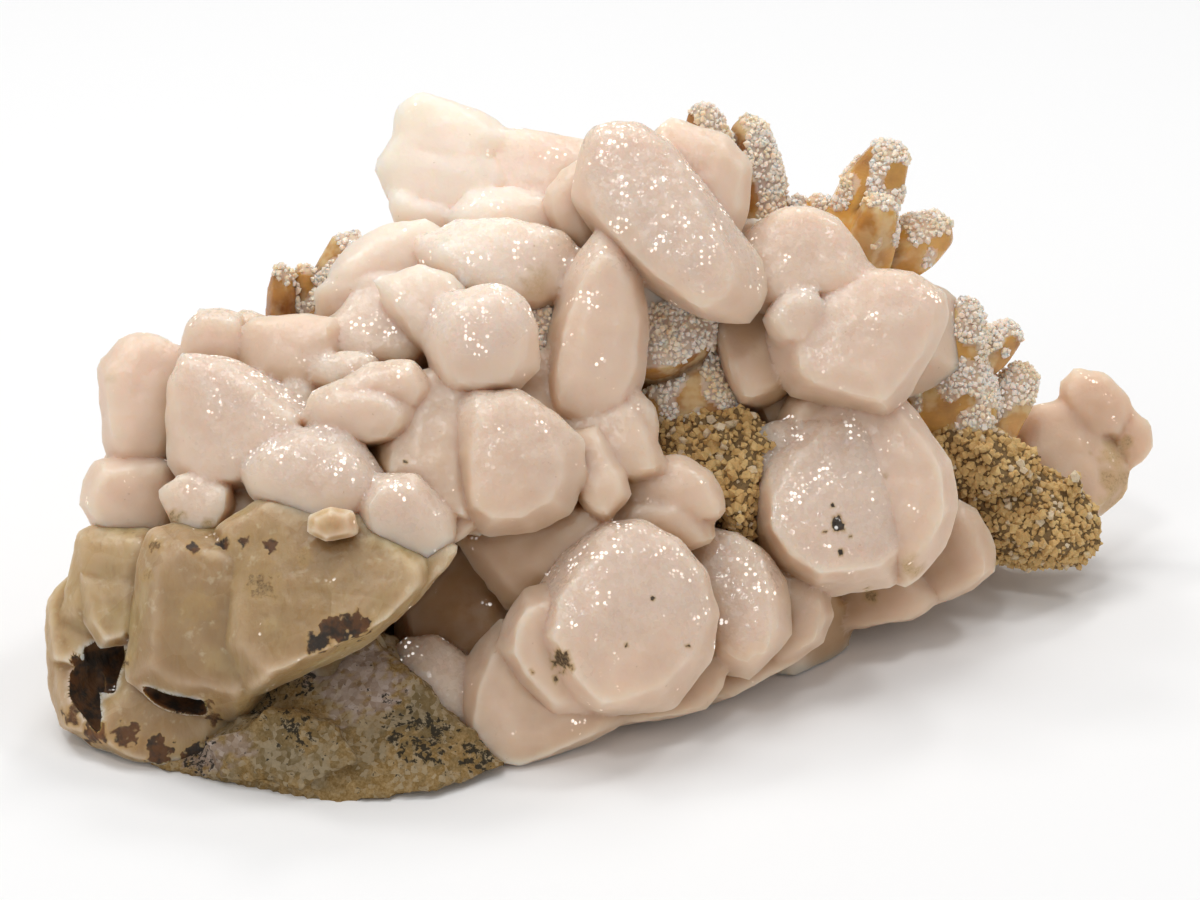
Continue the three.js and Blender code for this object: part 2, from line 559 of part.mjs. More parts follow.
// Calcite pair at the right end.
const rightPair = [
  crystal(54, [101.6, 43.4], [103.4, 40.9], [106.5, 40.1], [108.8, 41.6], [110.4, 43.8],
    [112.7, 46.5], [112, 49], [110, 51], [106, 49.6], [102.4, 46]),
  crystal(57, [106.3, 38.4], [107.6, 37.2], [110.5, 37.6], [112.4, 39.4], [113, 41.5],
    [112, 43.2], [109.6, 43.4], [107.6, 41.4]),
  crystal(56, [112, 41.6], [113.4, 40.8], [115, 42.4], [115.3, 44.5], [114.4, 46], [112.9, 46.7],
    [111.6, 44.4]),
];

const drawn = (crystals, from = 0, tailLength) =>
  crystals.map((one, i) => crystalPoints(one, from + i, tailLength));

// Small rounded crystals that coat the upper side of each prism, from a share of its length to
// near its tip, and sit close to its faces.
const COAT_SIZE = 1.7;
const COAT_SIZES = [0.8, 0.6]; // the least size and how much more there may be, as shares
const COAT_PER_PRISM = 3;
const COAT_START = 0.38;
const COAT_LENGTH = 0.6;
const COAT_CLOSENESS = 0.92;
const COAT_SPREAD = 2.2; // around the prism, in radians
const COAT_UP = new THREE.Vector3(0, -0.25, 1);
const TIP_START = 0.64; // from this share of its length on, a prism narrows towards its tip
const TIP_WIDTH = 0.42;
const GRAIN_CORNERS = 6;
const COAT_ROUGHNESS = 0.2;

function coat(prisms, seed) {
  const random = makeRandom(seed);
  return prisms.flatMap(([foot, tip, radius]) => {
    const from = place(...foot);
    const to = place(...tip);
    const axis = to.clone().sub(from);
    const up = COAT_UP.clone().projectOnPlane(axis.clone().normalize()).normalize();
    const side = axis.clone().cross(up).normalize();
    return Array.from({ length: COAT_PER_PRISM }, (_, i) => {
      const share = COAT_START + (COAT_LENGTH * (i + random() * 0.6)) / COAT_PER_PRISM;
      const narrowed = Math.min(1, (TIP_START + TIP_WIDTH - share) / TIP_WIDTH);
      const width = radius * narrowed * COAT_CLOSENESS;
      const angle = (random() - 0.5) * COAT_SPREAD;
      const at = from
        .clone()
        .addScaledVector(axis, share)
        .addScaledVector(up, width * Math.cos(angle))
        .addScaledVector(side, width * Math.sin(angle));
      const size = COAT_SIZE * (COAT_SIZES[0] + COAT_SIZES[1] * random());
      return lumpPoints(at, [size, size, size], seed + i, GRAIN_CORNERS, COAT_ROUGHNESS);
    });
  });
}

function quartzPieces({ prisms, crystals }, seed) {
  return [
    ...prisms.map(([foot, tip, radius, twist]) =>
      quartzPoints(place(...foot), place(...tip), radius, THREE.MathUtils.degToRad(twist)),
    ),
    ...drawn(crystals, seed),
    ...coat(prisms, seed),
  ];
}

function slabPoints(outline) {
  const middle = middleOf(outline);
  return outline.flatMap(([x, y]) => [
    new THREE.Vector3(x, y, -SLAB_BELOW),
    new THREE.Vector3(
      middle[0] + (x - middle[0]) * SLAB_TOP_SHARE,
      middle[1] + (y - middle[1]) * SLAB_TOP_SHARE,
      SLAB_HEIGHT,
    ),
  ]);
}

// Grains that stand out of the crust, spread over the domed front of each of its lumps.
const GRAIN_SIZE = 2;
const GRAIN_SIZES = [0.7, 0.7];
const GRAINS_PER_LUMP = 8;
const GRAIN_ROUGHNESS = 0.3;
const DOME_TOP = 1.15;

function grains({ deep, outline }, seed) {
  const random = makeRandom(seed);
  const middle = middleOf(outline);
  const radius = meanRadius(outline);
  return Array.from({ length: GRAINS_PER_LUMP }, (_, i) => {
    const angle = i * GOLDEN_ANGLE;
    const share = Math.sqrt((i + 0.5) / GRAINS_PER_LUMP);
    const at = [
      middle[0] + Math.cos(angle) * share * radius,
      middle[1] + Math.sin(angle) * share * radius,
    ];
    const dome = FRONT_REACH * radius * STEP * (DOME_TOP - share ** 2);
    const size = GRAIN_SIZE * (GRAIN_SIZES[0] + GRAIN_SIZES[1] * random());
    const centre = seen(at, alongSight(middle[1], deep) - dome);
    return lumpPoints(centre, [size, size, size], seed + i, GRAIN_CORNERS, GRAIN_ROUGHNESS);
  });
}

const placed = (corners) => corners.map((at) => place(...at));

const rockPieces = [
  placed(rockFront),
  placed(rockLedge),
  slabPoints(rockSlab),
  ...rockBack.map(([at, radii], i) =>
    lumpPoints(
      new THREE.Vector3(...at),
      radii,
      SEEDS.rockBack + i,
      ROCK_CORNERS,
      ROCK_ROUGHNESS,
    ),
  ),
];
const crustPieces = (lumps, seed) => [
  ...drawn(lumps, seed),
  ...lumps.flatMap((one, i) => grains(one, seed + SEED_STRIDE * i)),
];
const clusterPieces = [
  ...drawn(clusterCrystals),
  ...clusterBody.map(([at, radius], i) =>
    lumpPoints(
      place(...at),
      [radius, radius, radius],
      SEEDS.body + i,
      BODY_CORNERS,
      BODY_ROUGHNESS,
    ),
  ),
  ...backCrystals(),
];

const rock = above(joined(rockPieces), 0);
const rockRoom = joined(rockPieces, GAP);
const pits = joined(drawn(stainedPits, SEEDS.pits, PIT_DEPTH));

const finishes = {
  wall_rock: { color: 0x776a55, roughness: 0.9 },
  iron_crust: { color: 0xa9823f, roughness: 0.95 },
  quartz: { color: 0xb98d55, roughness: 0.4 },
  calcite: { color: 0xe6d2c4, roughness: 0.5 },
  stained: { color: 0xc9ad80, roughness: 0.45 },
};

const specimen = new THREE.Group();

function addNode(name, solid, finish) {
  const { vertProperties, triVerts } = solid.getMesh();
  const geometry = new THREE.BufferGeometry();
  geometry.setAttribute("position", new THREE.BufferAttribute(vertProperties, 3));
  geometry.setIndex(new THREE.BufferAttribute(triVerts, 1));
  geometry.computeVertexNormals();
  const mesh = new THREE.Mesh(
    geometry,
    new THREE.MeshStandardMaterial({ ...finishes[finish], metalness: 0 }),
  );
  mesh.name = name;
  specimen.add(mesh);
}

addNode("wall_rock", largest(rock), "wall_rock");

// Each later piece is cut back from everything that is in place already.
let taken = rockRoom;

function addGrown(name, pieces, finish, hollows) {
  const whole = joined(pieces).subtract(taken);
  const solid = above(hollows ? whole.subtract(hollows) : whole, FOOT_CLEARANCE);
  addNode(name, largest(solid), finish);
  taken = taken.add(joined(pieces, GAP));
}

addGrown("iron_crust_right", crustPieces(crustRight, SEEDS.crustRight), "iron_crust");
addGrown("iron_crust_middle", crustPieces(crustMiddle, SEEDS.crustMiddle), "iron_crust");
Object.entries(quartzGroups).forEach(([name, group], i) => {
  addGrown(name, quartzPieces(group, SEEDS.quartz + SEED_STRIDE * i), "quartz");
});
addGrown("stained_calcite_block", drawn(stainedCrystals, SEEDS.stained), "stained", pits);
addGrown("calcite_pair_right", drawn(rightPair, SEEDS.pair), "calcite");
addGrown("calcite_cluster", clusterPieces, "calcite");

export default specimen;
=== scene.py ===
"""Dresses the solids of a calcite and quartz specimen: rounded milky calcite, golden quartz points
under a pale druse, a granular rusty crust and speckled wall rock, on a plain pale floor."""

import json
import math

import bmesh
import bpy
import numpy as np
from bpy.props import FloatProperty, FloatVectorProperty, IntProperty, PointerProperty
from mathutils import Matrix, Vector, noise
from mathutils.bvhtree import BVHTree

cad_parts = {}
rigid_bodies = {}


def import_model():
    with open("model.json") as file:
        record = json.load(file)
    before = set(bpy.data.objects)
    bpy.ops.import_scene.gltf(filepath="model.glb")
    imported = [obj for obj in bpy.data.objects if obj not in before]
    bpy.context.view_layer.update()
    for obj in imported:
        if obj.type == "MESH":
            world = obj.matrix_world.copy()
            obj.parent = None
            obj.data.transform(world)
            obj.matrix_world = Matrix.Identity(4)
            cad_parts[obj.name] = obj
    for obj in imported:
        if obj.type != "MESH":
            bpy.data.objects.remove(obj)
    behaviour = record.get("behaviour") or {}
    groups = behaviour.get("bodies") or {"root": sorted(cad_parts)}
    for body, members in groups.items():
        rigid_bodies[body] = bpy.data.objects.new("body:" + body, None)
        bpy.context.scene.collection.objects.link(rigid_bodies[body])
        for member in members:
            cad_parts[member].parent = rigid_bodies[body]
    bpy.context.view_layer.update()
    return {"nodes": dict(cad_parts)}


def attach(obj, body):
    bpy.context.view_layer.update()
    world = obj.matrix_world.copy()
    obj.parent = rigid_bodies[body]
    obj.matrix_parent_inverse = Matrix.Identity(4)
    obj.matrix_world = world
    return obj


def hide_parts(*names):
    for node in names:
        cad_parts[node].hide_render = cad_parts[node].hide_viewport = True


bl_info = {
    "name": "Calcite with quartz",
    "version": (1, 0, 0),
    "blender": (4, 5, 0),
    "location": "3D View > Sidebar > Specimen",
    "description": "Dresses a calcite and quartz specimen around its solids",
    "category": "Object",
}

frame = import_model()

MM = 0.001

# The sheet on which the front of the specimen is drawn, as it is seen from a little above. A place
# is [across, down] in steps of the sheet, with a depth in the same steps behind the foot.
STEP = 1.45 * MM
VIEW_TILT = math.radians(25)
VIEW_DISTANCE = 520 * MM
SHEET_MIDDLE = (60, 45)
SHEET_WIDTH = 120
SHEET_FOOT = 80.3
BOX_MIDDLE = (4 * MM, 49 * MM)

SIN, COS = math.sin(VIEW_TILT), math.cos(VIEW_TILT)
FOOT_DROP = (SHEET_FOOT - SHEET_MIDDLE[1]) * STEP
SHEET_CENTRE = Vector((-BOX_MIDDLE[0], FOOT_DROP * SIN - BOX_MIDDLE[1], FOOT_DROP * COS))
SIGHT = Vector((0, COS, -SIN))
SHEET_UP = Vector((0, SIN, COS))
EYE = SHEET_CENTRE - SIGHT * VIEW_DISTANCE


def along_sight(down, deep):
    """How far along the line of sight a place lies behind the sheet."""
    up = (SHEET_MIDDLE[1] - down) * STEP
    return (deep * STEP - FOOT_DROP * SIN - up * SIN) / (COS + up * SIN / VIEW_DISTANCE)


def seen(across, down, along):
    """The point that is seen at (across, down), that far along the line of sight."""
    widen = 1 + along / VIEW_DISTANCE
    right = (across - SHEET_MIDDLE[0]) * STEP * widen
    up = (SHEET_MIDDLE[1] - down) * STEP * widen
    return SHEET_CENTRE + Vector((right, 0, 0)) + SHEET_UP * up + SIGHT * along


def place(across, down, deep):
    return seen(across, down, along_sight(down, deep))


def on_sheet(points):
    """Where points of the specimen are drawn on the sheet, as an array of (across, down)."""
    ray = points - np.array(EYE)
    scale = VIEW_DISTANCE / (ray @ np.array(SIGHT)) / STEP
    across = SHEET_MIDDLE[0] + ray[:, 0] * scale
    down = SHEET_MIDDLE[1] - (ray @ np.array(SHEET_UP)) * scale
    return np.stack([across, down], 1)


RANDOM_FACTOR, RANDOM_MODULUS = 16807, 2147483647
SEED_FACTOR, SEED_START = 7919, 104729


def make_random(seed):
    """Numbers from 0 to 1 that look random and are the same on every run."""
    state = seed * SEED_FACTOR + SEED_START
    while True:
        state = state * RANDOM_FACTOR % RANDOM_MODULUS
        yield state / RANDOM_MODULUS


# Settings


def a_length(name, description, default):
    return FloatProperty(name=name, description=description, default=default, unit="LENGTH")


def a_colour(name, description, *default):
    return FloatVectorProperty(
        name=name, description=description, default=default, subtype="COLOR"
    )


class CalciteSettings(bpy.types.PropertyGroup):
    softness: FloatProperty(
        name="Softness", description="How sharp the crystals' rounded edges are", default=70, min=4
    )
    stained_softness: FloatProperty(
        name="Stained softness", description="The same for the stained block", default=50
    )
    relief: a_length("Relief", "Height of the growth relief on a face", 0.22 * MM)
    frost_grain: a_length("Frost grain", "Size of the small flat facets on top", 0.7 * MM)
    pale: a_colour("Pale", "Colour of the palest calcite", 0.80, 0.605, 0.46)
    # The warm colour is also the colour of the painted shade in hollows and toward the foot.
    warm: a_colour("Warm", "Colour of the warmest calcite", 0.44, 0.245, 0.10)
    yellow: a_colour("Yellow", "Colour of the stained block", 0.46, 0.305, 0.13)


class QuartzSettings(bpy.types.PropertyGroup):
    druse_grain: a_length("Druse grain", "Size of a small crystal of the coat", 0.95 * MM)
    golden: a_colour("Golden", "Colour of the quartz points", 0.85, 0.46, 0.11)
    druse: a_colour("Druse", "Colour of the sugary coat", 0.95, 0.79, 0.70)


class CrustSettings(bpy.types.PropertyGroup):
    grain: a_length("Grain", "Size of the larger crust grains", 1.7 * MM)
    voxel: a_length("Voxel", "Fineness of the crust under its grains", 0.45 * MM)
    ochre: a_colour("Ochre", "Colour of the crust", 0.56, 0.34, 0.12)


class RockSettings(bpy.types.PropertyGroup):
    voxel: a_length("Voxel", "Fineness of the broken rock", 0.65 * MM)
    relief: a_length("Relief", "Height of the broken surface", 1.3 * MM)
    tan: a_colour("Tan", "Main colour of the rock", 0.20, 0.115, 0.032)


class StageSettings(bpy.types.PropertyGroup):
    floor: a_colour("Floor", "Colour of the floor", 0.90, 0.90, 0.90)
    key: FloatProperty(name="Key", description="Power of all the lights", default=3.9, unit="POWER")
    seed: IntProperty(name="Seed", description="Seed of all scattered grains", default=7)


# Crystals and points, as sets of corner points

FACE_LEAN = 0.5  # the most that a front face leans
LEAN_SHIFT = (0.5, 0.2)  # so that it leans to either side, and more often upward
FACE_DROP = 0.12
TAIL_LENGTH = 16 * MM
PIT_DEPTH = 9 * MM
# Rings of corners as (width, place behind the outline in radii), in front with every how many
# corners of the outline they have.
FRONT_RINGS = ((0.45, -0.44, 2), (0.85, -0.33, 1))
BACK_RINGS = ((1.10, 0.25), (0.75, 0.85))
CORE_WIDTH, CORE_HEIGHT = 0.86, 0.5
CORE_DEPTH, CORE_SLANT = 12 * MM, 0.26
GOLDEN_ANGLE = math.pi * (3 - math.sqrt(5))


def crystal(deep, warm, frost, *corners):
    """A crystal drawn on the sheet: its depth, how warm and how frosted it is, and its corners as
    across, down, across, down and so on."""
    outline = tuple(zip(corners[::2], corners[1::2]))
    return {"deep": deep, "warm": warm, "frost": frost, "outline": outline}


def middle_of(outline):
    return [sum(axis) / len(outline) for axis in zip(*outline)]


def mean_radius(outline):
    following = outline[1:] + outline[:1]
    twice = sum(x * v - u * y for (x, y), (u, v) in zip(outline, following))
    return math.sqrt(abs(twice) / 2 / math.pi)


def core_near(point):
    """The core of the specimen that a crystal at this point grows from."""
    depth = CORE_DEPTH + CORE_SLANT * point.x
    return Vector((point.x * CORE_WIDTH, depth, point.z * CORE_HEIGHT))


def inside(x, y, outline):
    """Whether a place of the sheet lies within an outline."""
    crossed = False
    for (x1, y1), (x2, y2) in zip(outline, outline[1:] + outline[:1]):
        if (y1 > y) != (y2 > y) and x < x1 + (y - y1) / (y2 - y1) * (x2 - x1):
            crossed = not crossed
    return crossed


FOOT_SPREAD = 1.3
FOOT_SHIFT = 0.30
MUCH_DEEPER = 6  # steps


def foot_corners(one, others):
    """Corners that widen a crystal behind its outline, where a neighbour about as deep hides
    them."""
    outline = one["outline"]
    middle = middle_of(outline)
    radius = mean_radius(outline) * STEP
    along = along_sight(middle[1], one["deep"]) + FOOT_SHIFT * radius
    corners = []
    hiding = [
        other["outline"]
        for other in others
        if other is not one and other["deep"] < one["deep"] + MUCH_DEEPER
    ]
    for corner in outline:
        spread = [m + (c - m) * FOOT_SPREAD for c, m in zip(corner, middle)]
        if any(inside(*spread, other) for other in hiding):
            corners.append(seen(*spread, along))
    return corners


def crystal_points(one, index, tail=TAIL_LENGTH):
    """Rings of corners in front, the outline, rings behind, and the end that it grows from."""
    chance = make_random(index + 1)
    outline = one["outline"]
    middle = middle_of(outline)
    radius = mean_radius(outline) * STEP
    along = along_sight(middle[1], one["deep"])
    lean = [(next(chance) - shift) * FACE_LEAN for shift in LEAN_SHIFT]

    def ring(share, shift, leaning=0, step=1, first=0):
        corners = []
        for x, y in outline[first::step]:
            dx, dy = (x - middle[0]) * share, (y - middle[1]) * share
            leant = leaning * (dx * lean[0] - dy * lean[1]) * STEP
            drop = leaning * FACE_DROP * radius / STEP
            away = along + shift * radius + leant
            corners.append(seen(middle[0] + dx, middle[1] + dy + drop, away))
        return corners

    centre = seen(*middle, along)
    end = centre + (core_near(centre) - centre).normalized() * tail
    front = []
    for share, shift, step in FRONT_RINGS:
        front += ring(share, shift, 1, step, first=index % step)
    back = [corner for share, shift in BACK_RINGS for corner in ring(share, shift)]
    return front + ring(1, 0) + back + [end]


def lump_points(centre, radii, seed, count, roughness):
    """Points spread over an ellipsoid, each moved in or out a little."""
    chance = make_random(seed)
    spin = next(chance) * math.tau
    points = []
    for i in range(count):
        z = 1 - (2 * i + 1) / count
        around = math.sqrt(1 - z * z)
        reach = 1 + roughness * (next(chance) - 0.5)
        angle = GOLDEN_ANGLE * i + spin
        unit = (math.cos(angle) * around * reach, math.sin(angle) * around * reach, z * reach)
        points.append(Vector(c + r * u for c, r, u in zip(centre, radii, unit)))
    return points


# The rings of a quartz point, as (share of its length, width).
PRISM_RINGS = ((0, 1.05), (0.6, 1), (0.9, 0.62))


def prism_points(foot, tip, radius, twist):
    """A six-sided quartz point from its foot to its tip."""
    axis = tip - foot
    side = Vector((axis.z, 0, -axis.x)).normalized()
    other = axis.cross(side).normalized()
    points = [tip.copy()]
    for share, width in PRISM_RINGS:
        for i in range(6):
            angle = math.radians(twist) + i * math.pi / 3
            outward = side * math.cos(angle) + other * math.sin(angle)
            points.append(foot + axis * share + outward * radius * width)
    return points


# Calcite crystals: depth, warmth, frost, then the outline on the sheet.
CLUSTER = [
    # Left end, over the stained block
    crystal(28, 0.15, 0.3, 10.2, 36.5, 13.2, 33.8, 16.5, 34, 18.5, 36.5, 18, 42, 16, 45.5,
        11.8, 45.6, 10.6, 43),
    crystal(22, 0.2, 0.3, 10, 46.2, 13, 45.7, 16.8, 46.2, 17.2, 50, 16.6, 52.4, 14.5, 53,
        9.6, 52.6, 8.2, 50.3, 8.9, 48),
    crystal(17, 0.45, 0.5, 16.6, 49.5, 18, 47.8, 20.5, 47.6, 23, 48.6, 22.8, 50.5, 21.8, 52.6,
        19.6, 53.6, 17.6, 52.6),
    crystal(22, 0.15, 0.9, 17.3, 38.5, 18.5, 35.8, 23, 36.3, 27.5, 38.5, 30.3, 41, 29.8, 44.5,
        26.8, 47.4, 23, 48, 19.8, 48.2, 18.2, 45.5),
    crystal(30, 0.1, 0.7, 18.3, 35.5, 18.8, 32.5, 20, 31, 22, 30.9, 24, 31.6, 24.3, 34.5,
        23.6, 36.8, 19.6, 37),
    crystal(28, 0.5, 0.3, 24.3, 34.5, 25.5, 32.6, 29, 31.8, 33.3, 31.9, 33.6, 35, 31.6, 37.8,
        28, 38, 24.6, 37),
    # Middle of the front
    crystal(16, 0.1, 1.0, 24.4, 46.5, 26.5, 44.4, 30, 43, 34, 43.5, 36.3, 45.5, 37.5, 48,
        36.2, 50.3, 35, 51.8, 31, 52, 29.8, 50.3, 25.8, 49),
    crystal(20, 0.25, 0.6, 31, 42, 31.8, 40, 34, 38.8, 38, 39, 40.5, 40.5, 40.3, 42.3, 39, 43.6,
        36, 43.9, 33, 44),
    crystal(25, 0.1, 0.8, 30.8, 36.6, 32, 35.6, 36, 35.3, 37.6, 36, 37, 37.4, 34, 38.2, 31.5, 38),
    crystal(22, 0.3, 0.5, 33.5, 38.6, 37.2, 36.8, 41, 36.3, 42.4, 38.6, 41.6, 40.4, 38, 40.4),
    crystal(30, 0.35, 0.4, 33.4, 32, 36, 30, 40, 29.2, 43, 31, 43.8, 34, 42, 35.4, 38, 36,
        33.5, 35.6),
    crystal(29, 0.35, 0.4, 38.5, 28.4, 42, 26.8, 45, 27.6, 46.5, 29, 45.6, 32, 43, 35.3, 41, 33,
        39, 30.5),
    crystal(25, 0.1, 1.0, 43.3, 33.5, 44.6, 30.5, 46.5, 28.9, 50, 28.8, 52.3, 30.5, 53.4, 33,
        52.8, 36, 51, 37.9, 48, 38.6, 45, 38.2, 43.5, 36),
    crystal(20, 0.4, 0.4, 40.6, 40.2, 43, 37.6, 46.5, 38.2, 48.2, 41, 47.6, 48, 47, 51.6,
        44.8, 51.4, 42.6, 49, 40, 47.6, 38.4, 46.6, 38.6, 43.4),
    crystal(18, 0.35, 0.6, 46.8, 41.5, 47.6, 39.6, 51.8, 39.6, 54.6, 41.4, 57, 44.3, 57.2, 47,
        55.8, 50, 53, 51.6, 49, 51.9, 46.8, 50.3, 46.3, 45),
    crystal(13, 0.15, 0.9, 36.3, 50, 37.8, 47.6, 41.6, 47.6, 43.2, 49.6, 44.6, 51.5, 45.2, 53.8,
        43, 55.8, 40, 54.6, 37.8, 53.9, 36.4, 52.4),
    crystal(27, 0.4, 0.3, 50.4, 38.6, 53, 35.4, 55.4, 35.6, 57.2, 40, 57.6, 43.4, 55, 42.6,
        52, 40.6),
    # Lower middle
    crystal(13, 0.05, 0.8, 54.8, 58.5, 57.5, 55.3, 60.5, 53, 64, 52.6, 67.5, 54.2, 70, 57.5,
        71.2, 61.5, 70.4, 65.5, 66.5, 68.6, 60, 70.7, 57, 68, 54, 63),
    crystal(11, 0.1, 0.2, 51, 62, 52.6, 59.5, 55.5, 58.5, 58.5, 60.5, 60, 64, 59.8, 68, 58.5, 70,
        55.5, 70.3, 52.6, 67.6, 50.8, 64.8),
    crystal(20, 0.1, 0.9, 69.6, 55, 70.8, 53.8, 73.5, 53.5, 76, 55, 77.6, 58.5, 78, 62.5, 77, 65.3,
        74.5, 66.4, 71.8, 65.5, 70.6, 62),
    crystal(24, 0.3, 0.4, 76, 55.5, 79, 56, 82.3, 58.3, 83, 61.5, 82, 64, 79.5, 65.6, 76.5, 66.3,
        75.5, 62, 75, 58),
    crystal(20, 0.45, 0.3, 47.3, 54, 48.6, 51.7, 53, 51.2, 56.5, 49.6, 59.5, 50, 62, 52, 60.5, 56,
        56, 60, 51.6, 59.6, 49.5, 57),
    crystal(20, 0.4, 0.3, 56.4, 44.3, 59.5, 43.4, 61.6, 46.5, 62.4, 49, 60.5, 51.5, 59, 50.6,
        57, 48),
    crystal(23, 0.35, 0.4, 61, 47, 64, 46, 68, 45.8, 70.8, 47.3, 72.3, 50.2, 72.2, 51.4, 70, 52,
        66, 51.5, 62.4, 50.6),
    crystal(21, 0.35, 0.4, 60, 51.5, 63, 49.8, 67.5, 49.8, 70, 51.5, 70.6, 53.8, 68.6, 55,
        65.5, 54.6, 60.6, 54.2),
    crystal(24, 0.35, 0.4, 56.2, 42, 58.4, 40.4, 63, 40.8, 65, 43, 66, 46.5, 63, 47.6, 60, 46,
        57.2, 44.4),
    crystal(26, 0.3, 0.5, 61, 40.8, 63.4, 38.8, 65.3, 40.8, 65.9, 43.2, 65.4, 44.6, 63.5, 43.6,
        61.5, 42.5),
    crystal(22, 0.9, 0.1, 40, 60.5, 43.5, 57, 47.2, 53.6, 49.8, 56.6, 51.6, 59.6, 51, 62.8,
        48.3, 65.4, 45.5, 66.8, 41, 66),
    crystal(13, 0.35, 0.8, 38.5, 66, 40.6, 64, 43.6, 63.8, 46.5, 65.6, 47.6, 69, 47.5, 72.5,
        45, 73.2, 42, 71.6, 39.8, 69.2),
    crystal(11, 0.35, 0.3, 47, 68, 48.6, 64, 50.4, 62.6, 53, 66, 57, 69.6, 61.5, 71, 60.5, 72.9,
        56, 75, 52, 76.4, 48.5, 75.6, 46.2, 73.5),
    crystal(14, 0.35, 0.3, 57, 70, 62, 70, 67, 67.6, 71, 65.6, 72.6, 67.8, 70, 70.9, 66, 71.6,
        62, 72.2, 59, 72.6),
    crystal(21, 0.35, 0.3, 70, 65.6, 74, 65.4, 78, 65, 81.8, 63.4, 80.5, 65.6, 77, 67.3, 73, 69.6,
        70.5, 70),
    # Upper middle
    crystal(30, 0.15, 0.5, 55.2, 41, 55, 37, 56.5, 30, 58, 25.8, 60, 23.5, 62, 24.2, 63.8, 27.5,
        64.4, 31, 64.2, 36, 62.5, 40, 60, 42, 57, 42),
    crystal(35, 0.3, 0.7, 43, 24.5, 46, 22.4, 51, 22.2, 56, 23.4, 57.3, 25.6, 56.8, 28.5, 55, 29.8,
        51, 29.8, 47, 29, 44, 27),
    crystal(37, 0.5, 0.3, 32.8, 27, 35.5, 24.5, 39, 22.6, 42.5, 22.3, 44.8, 24.6, 45, 27, 42, 28.4,
        38, 28.4, 34, 28),
    crystal(34, 0.4, 0.4, 31.6, 29, 34, 27.3, 38, 27, 41, 28, 38, 29.8, 34.5, 30.6, 32.4, 32),
    crystal(50, 0.15, 0.2, 39.3, 13.5, 40, 11, 42, 9.7, 44, 10, 48, 11.2, 50.8, 13.2, 49, 16,
        44, 16.5, 40, 15.5),
    crystal(47, 0.2, 0.2, 38, 16.5, 39.4, 14.2, 44, 14, 49, 15, 51, 17.5, 49, 20, 45.5, 21.5,
        41, 20.8, 39, 19.5),
    crystal(44, 0.3, 0.2, 38.7, 18.8, 42, 19.6, 45.4, 20.6, 45, 23.4, 41, 23.6, 39.4, 22),
    crystal(47, 0.2, 0.3, 48.5, 14.5, 50, 13, 54, 14.1, 58.8, 14.8, 58.6, 17, 56.6, 19, 55.8, 22,
        51.5, 21.5, 48.5, 19),
    crystal(42, 0.25, 0.3, 45.5, 21.6, 47.5, 19.6, 51, 19.2, 54.5, 20, 55.4, 22.5, 51, 23.6,
        46.5, 23.4),
    crystal(41, 0.2, 0.3, 55, 19, 57, 16.8, 59, 16.2, 61, 19, 60.6, 22.6, 58.4, 24.4, 56, 22.8,
        55, 21),
    crystal(36, 0.25, 0.9, 58.2, 18, 58.9, 15, 60.4, 13.3, 64, 13, 66.4, 14.2, 69.2, 17.5,
        72, 21.5, 74, 25, 74.4, 28, 73, 30, 70.6, 31.2, 67.6, 28.8, 64, 26.4, 61, 22.8, 59, 20.6),
    crystal(42, 0.2, 0.3, 65.6, 14.2, 67.3, 12.1, 70, 13.4, 72.6, 13.7, 74.9, 16.5, 74.6, 19.5,
        73.6, 22, 72.8, 23.4, 70.5, 19.5, 68, 16.8),
    crystal(40, 0.1, 0.6, 74, 24.6, 76, 22.6, 78.8, 21.2, 81.5, 21.2, 83.8, 22.2, 85.3, 25,
        86.6, 27.4, 84, 28.8, 80, 29.2, 76.5, 30, 74.2, 28),
    crystal(35, 0.15, 0.5, 78.6, 33.5, 80.6, 30.5, 82.5, 28.8, 87, 27.5, 91, 27.6, 94, 29.6,
        94.3, 32, 93, 35, 90.5, 38, 88.5, 40.2, 84.5, 39.3, 80.5, 38, 79, 36.4),
    crystal(34, 0.1, 0.9, 77, 31.6, 78.6, 29.3, 81.8, 28.7, 82.4, 31.5, 80.6, 34, 78.4, 33.8),
    crystal(37, 0.6, 0.1, 71.8, 32, 75, 29.6, 77.6, 29.6, 78.6, 33, 79.2, 36, 78, 38.5, 76, 39.6,
        74, 40.1, 72.4, 36.5),
    crystal(38, 0.8, 0.1, 75.4, 40.2, 76.6, 37.6, 79.5, 36.8, 82.2, 38.9, 80, 42.4, 77, 42.7),
    crystal(35, 0.4, 0.3, 78, 42, 80, 39.6, 82, 38.2, 86, 38.4, 89, 40, 88.4, 42.8, 83, 43.8,
        79.2, 43.4),
    # Right of the middle
    crystal(28, 0.0, 0.9, 76, 49, 78.5, 44.6, 83, 42.4, 88, 42.6, 91.6, 45.5, 92.8, 50, 91.4, 54.4,
        88.4, 56.7, 82, 57.5, 78.4, 55.2, 76, 52),
    crystal(30, 0.1, 0.4, 82, 42.5, 85, 40.4, 89, 40.2, 91.8, 42.2, 94.8, 46, 95.3, 50.5, 94, 53.8,
        90.4, 56.8, 88, 50),
    crystal(29, 0.2, 0.6, 75.3, 49.5, 76.4, 46, 79, 44, 81.4, 47, 80.4, 53, 77.2, 54.6, 75.4, 53),
    crystal(31, 0.7, 0.9, 74.2, 44.6, 75.6, 42.9, 78, 42.5, 80.4, 43.2, 80.4, 45.8, 78, 48.2,
        75.4, 48, 74, 46.5),
    crystal(37, 0.3, 0.2, 89.6, 58.5, 91, 55.6, 94, 53.6, 95.6, 50.2, 97.6, 51.6, 98.8, 54.5,
        99.2, 57, 97, 58.8, 93, 60.2, 90, 60.4),
    crystal(33, 0.4, 0.2, 82.8, 60.5, 83.4, 57.4, 87, 56, 90, 56.6, 91.8, 59, 93.6, 60.4, 91, 61.8,
        86, 62.6, 83, 62.5),
    # Smaller ones between the others
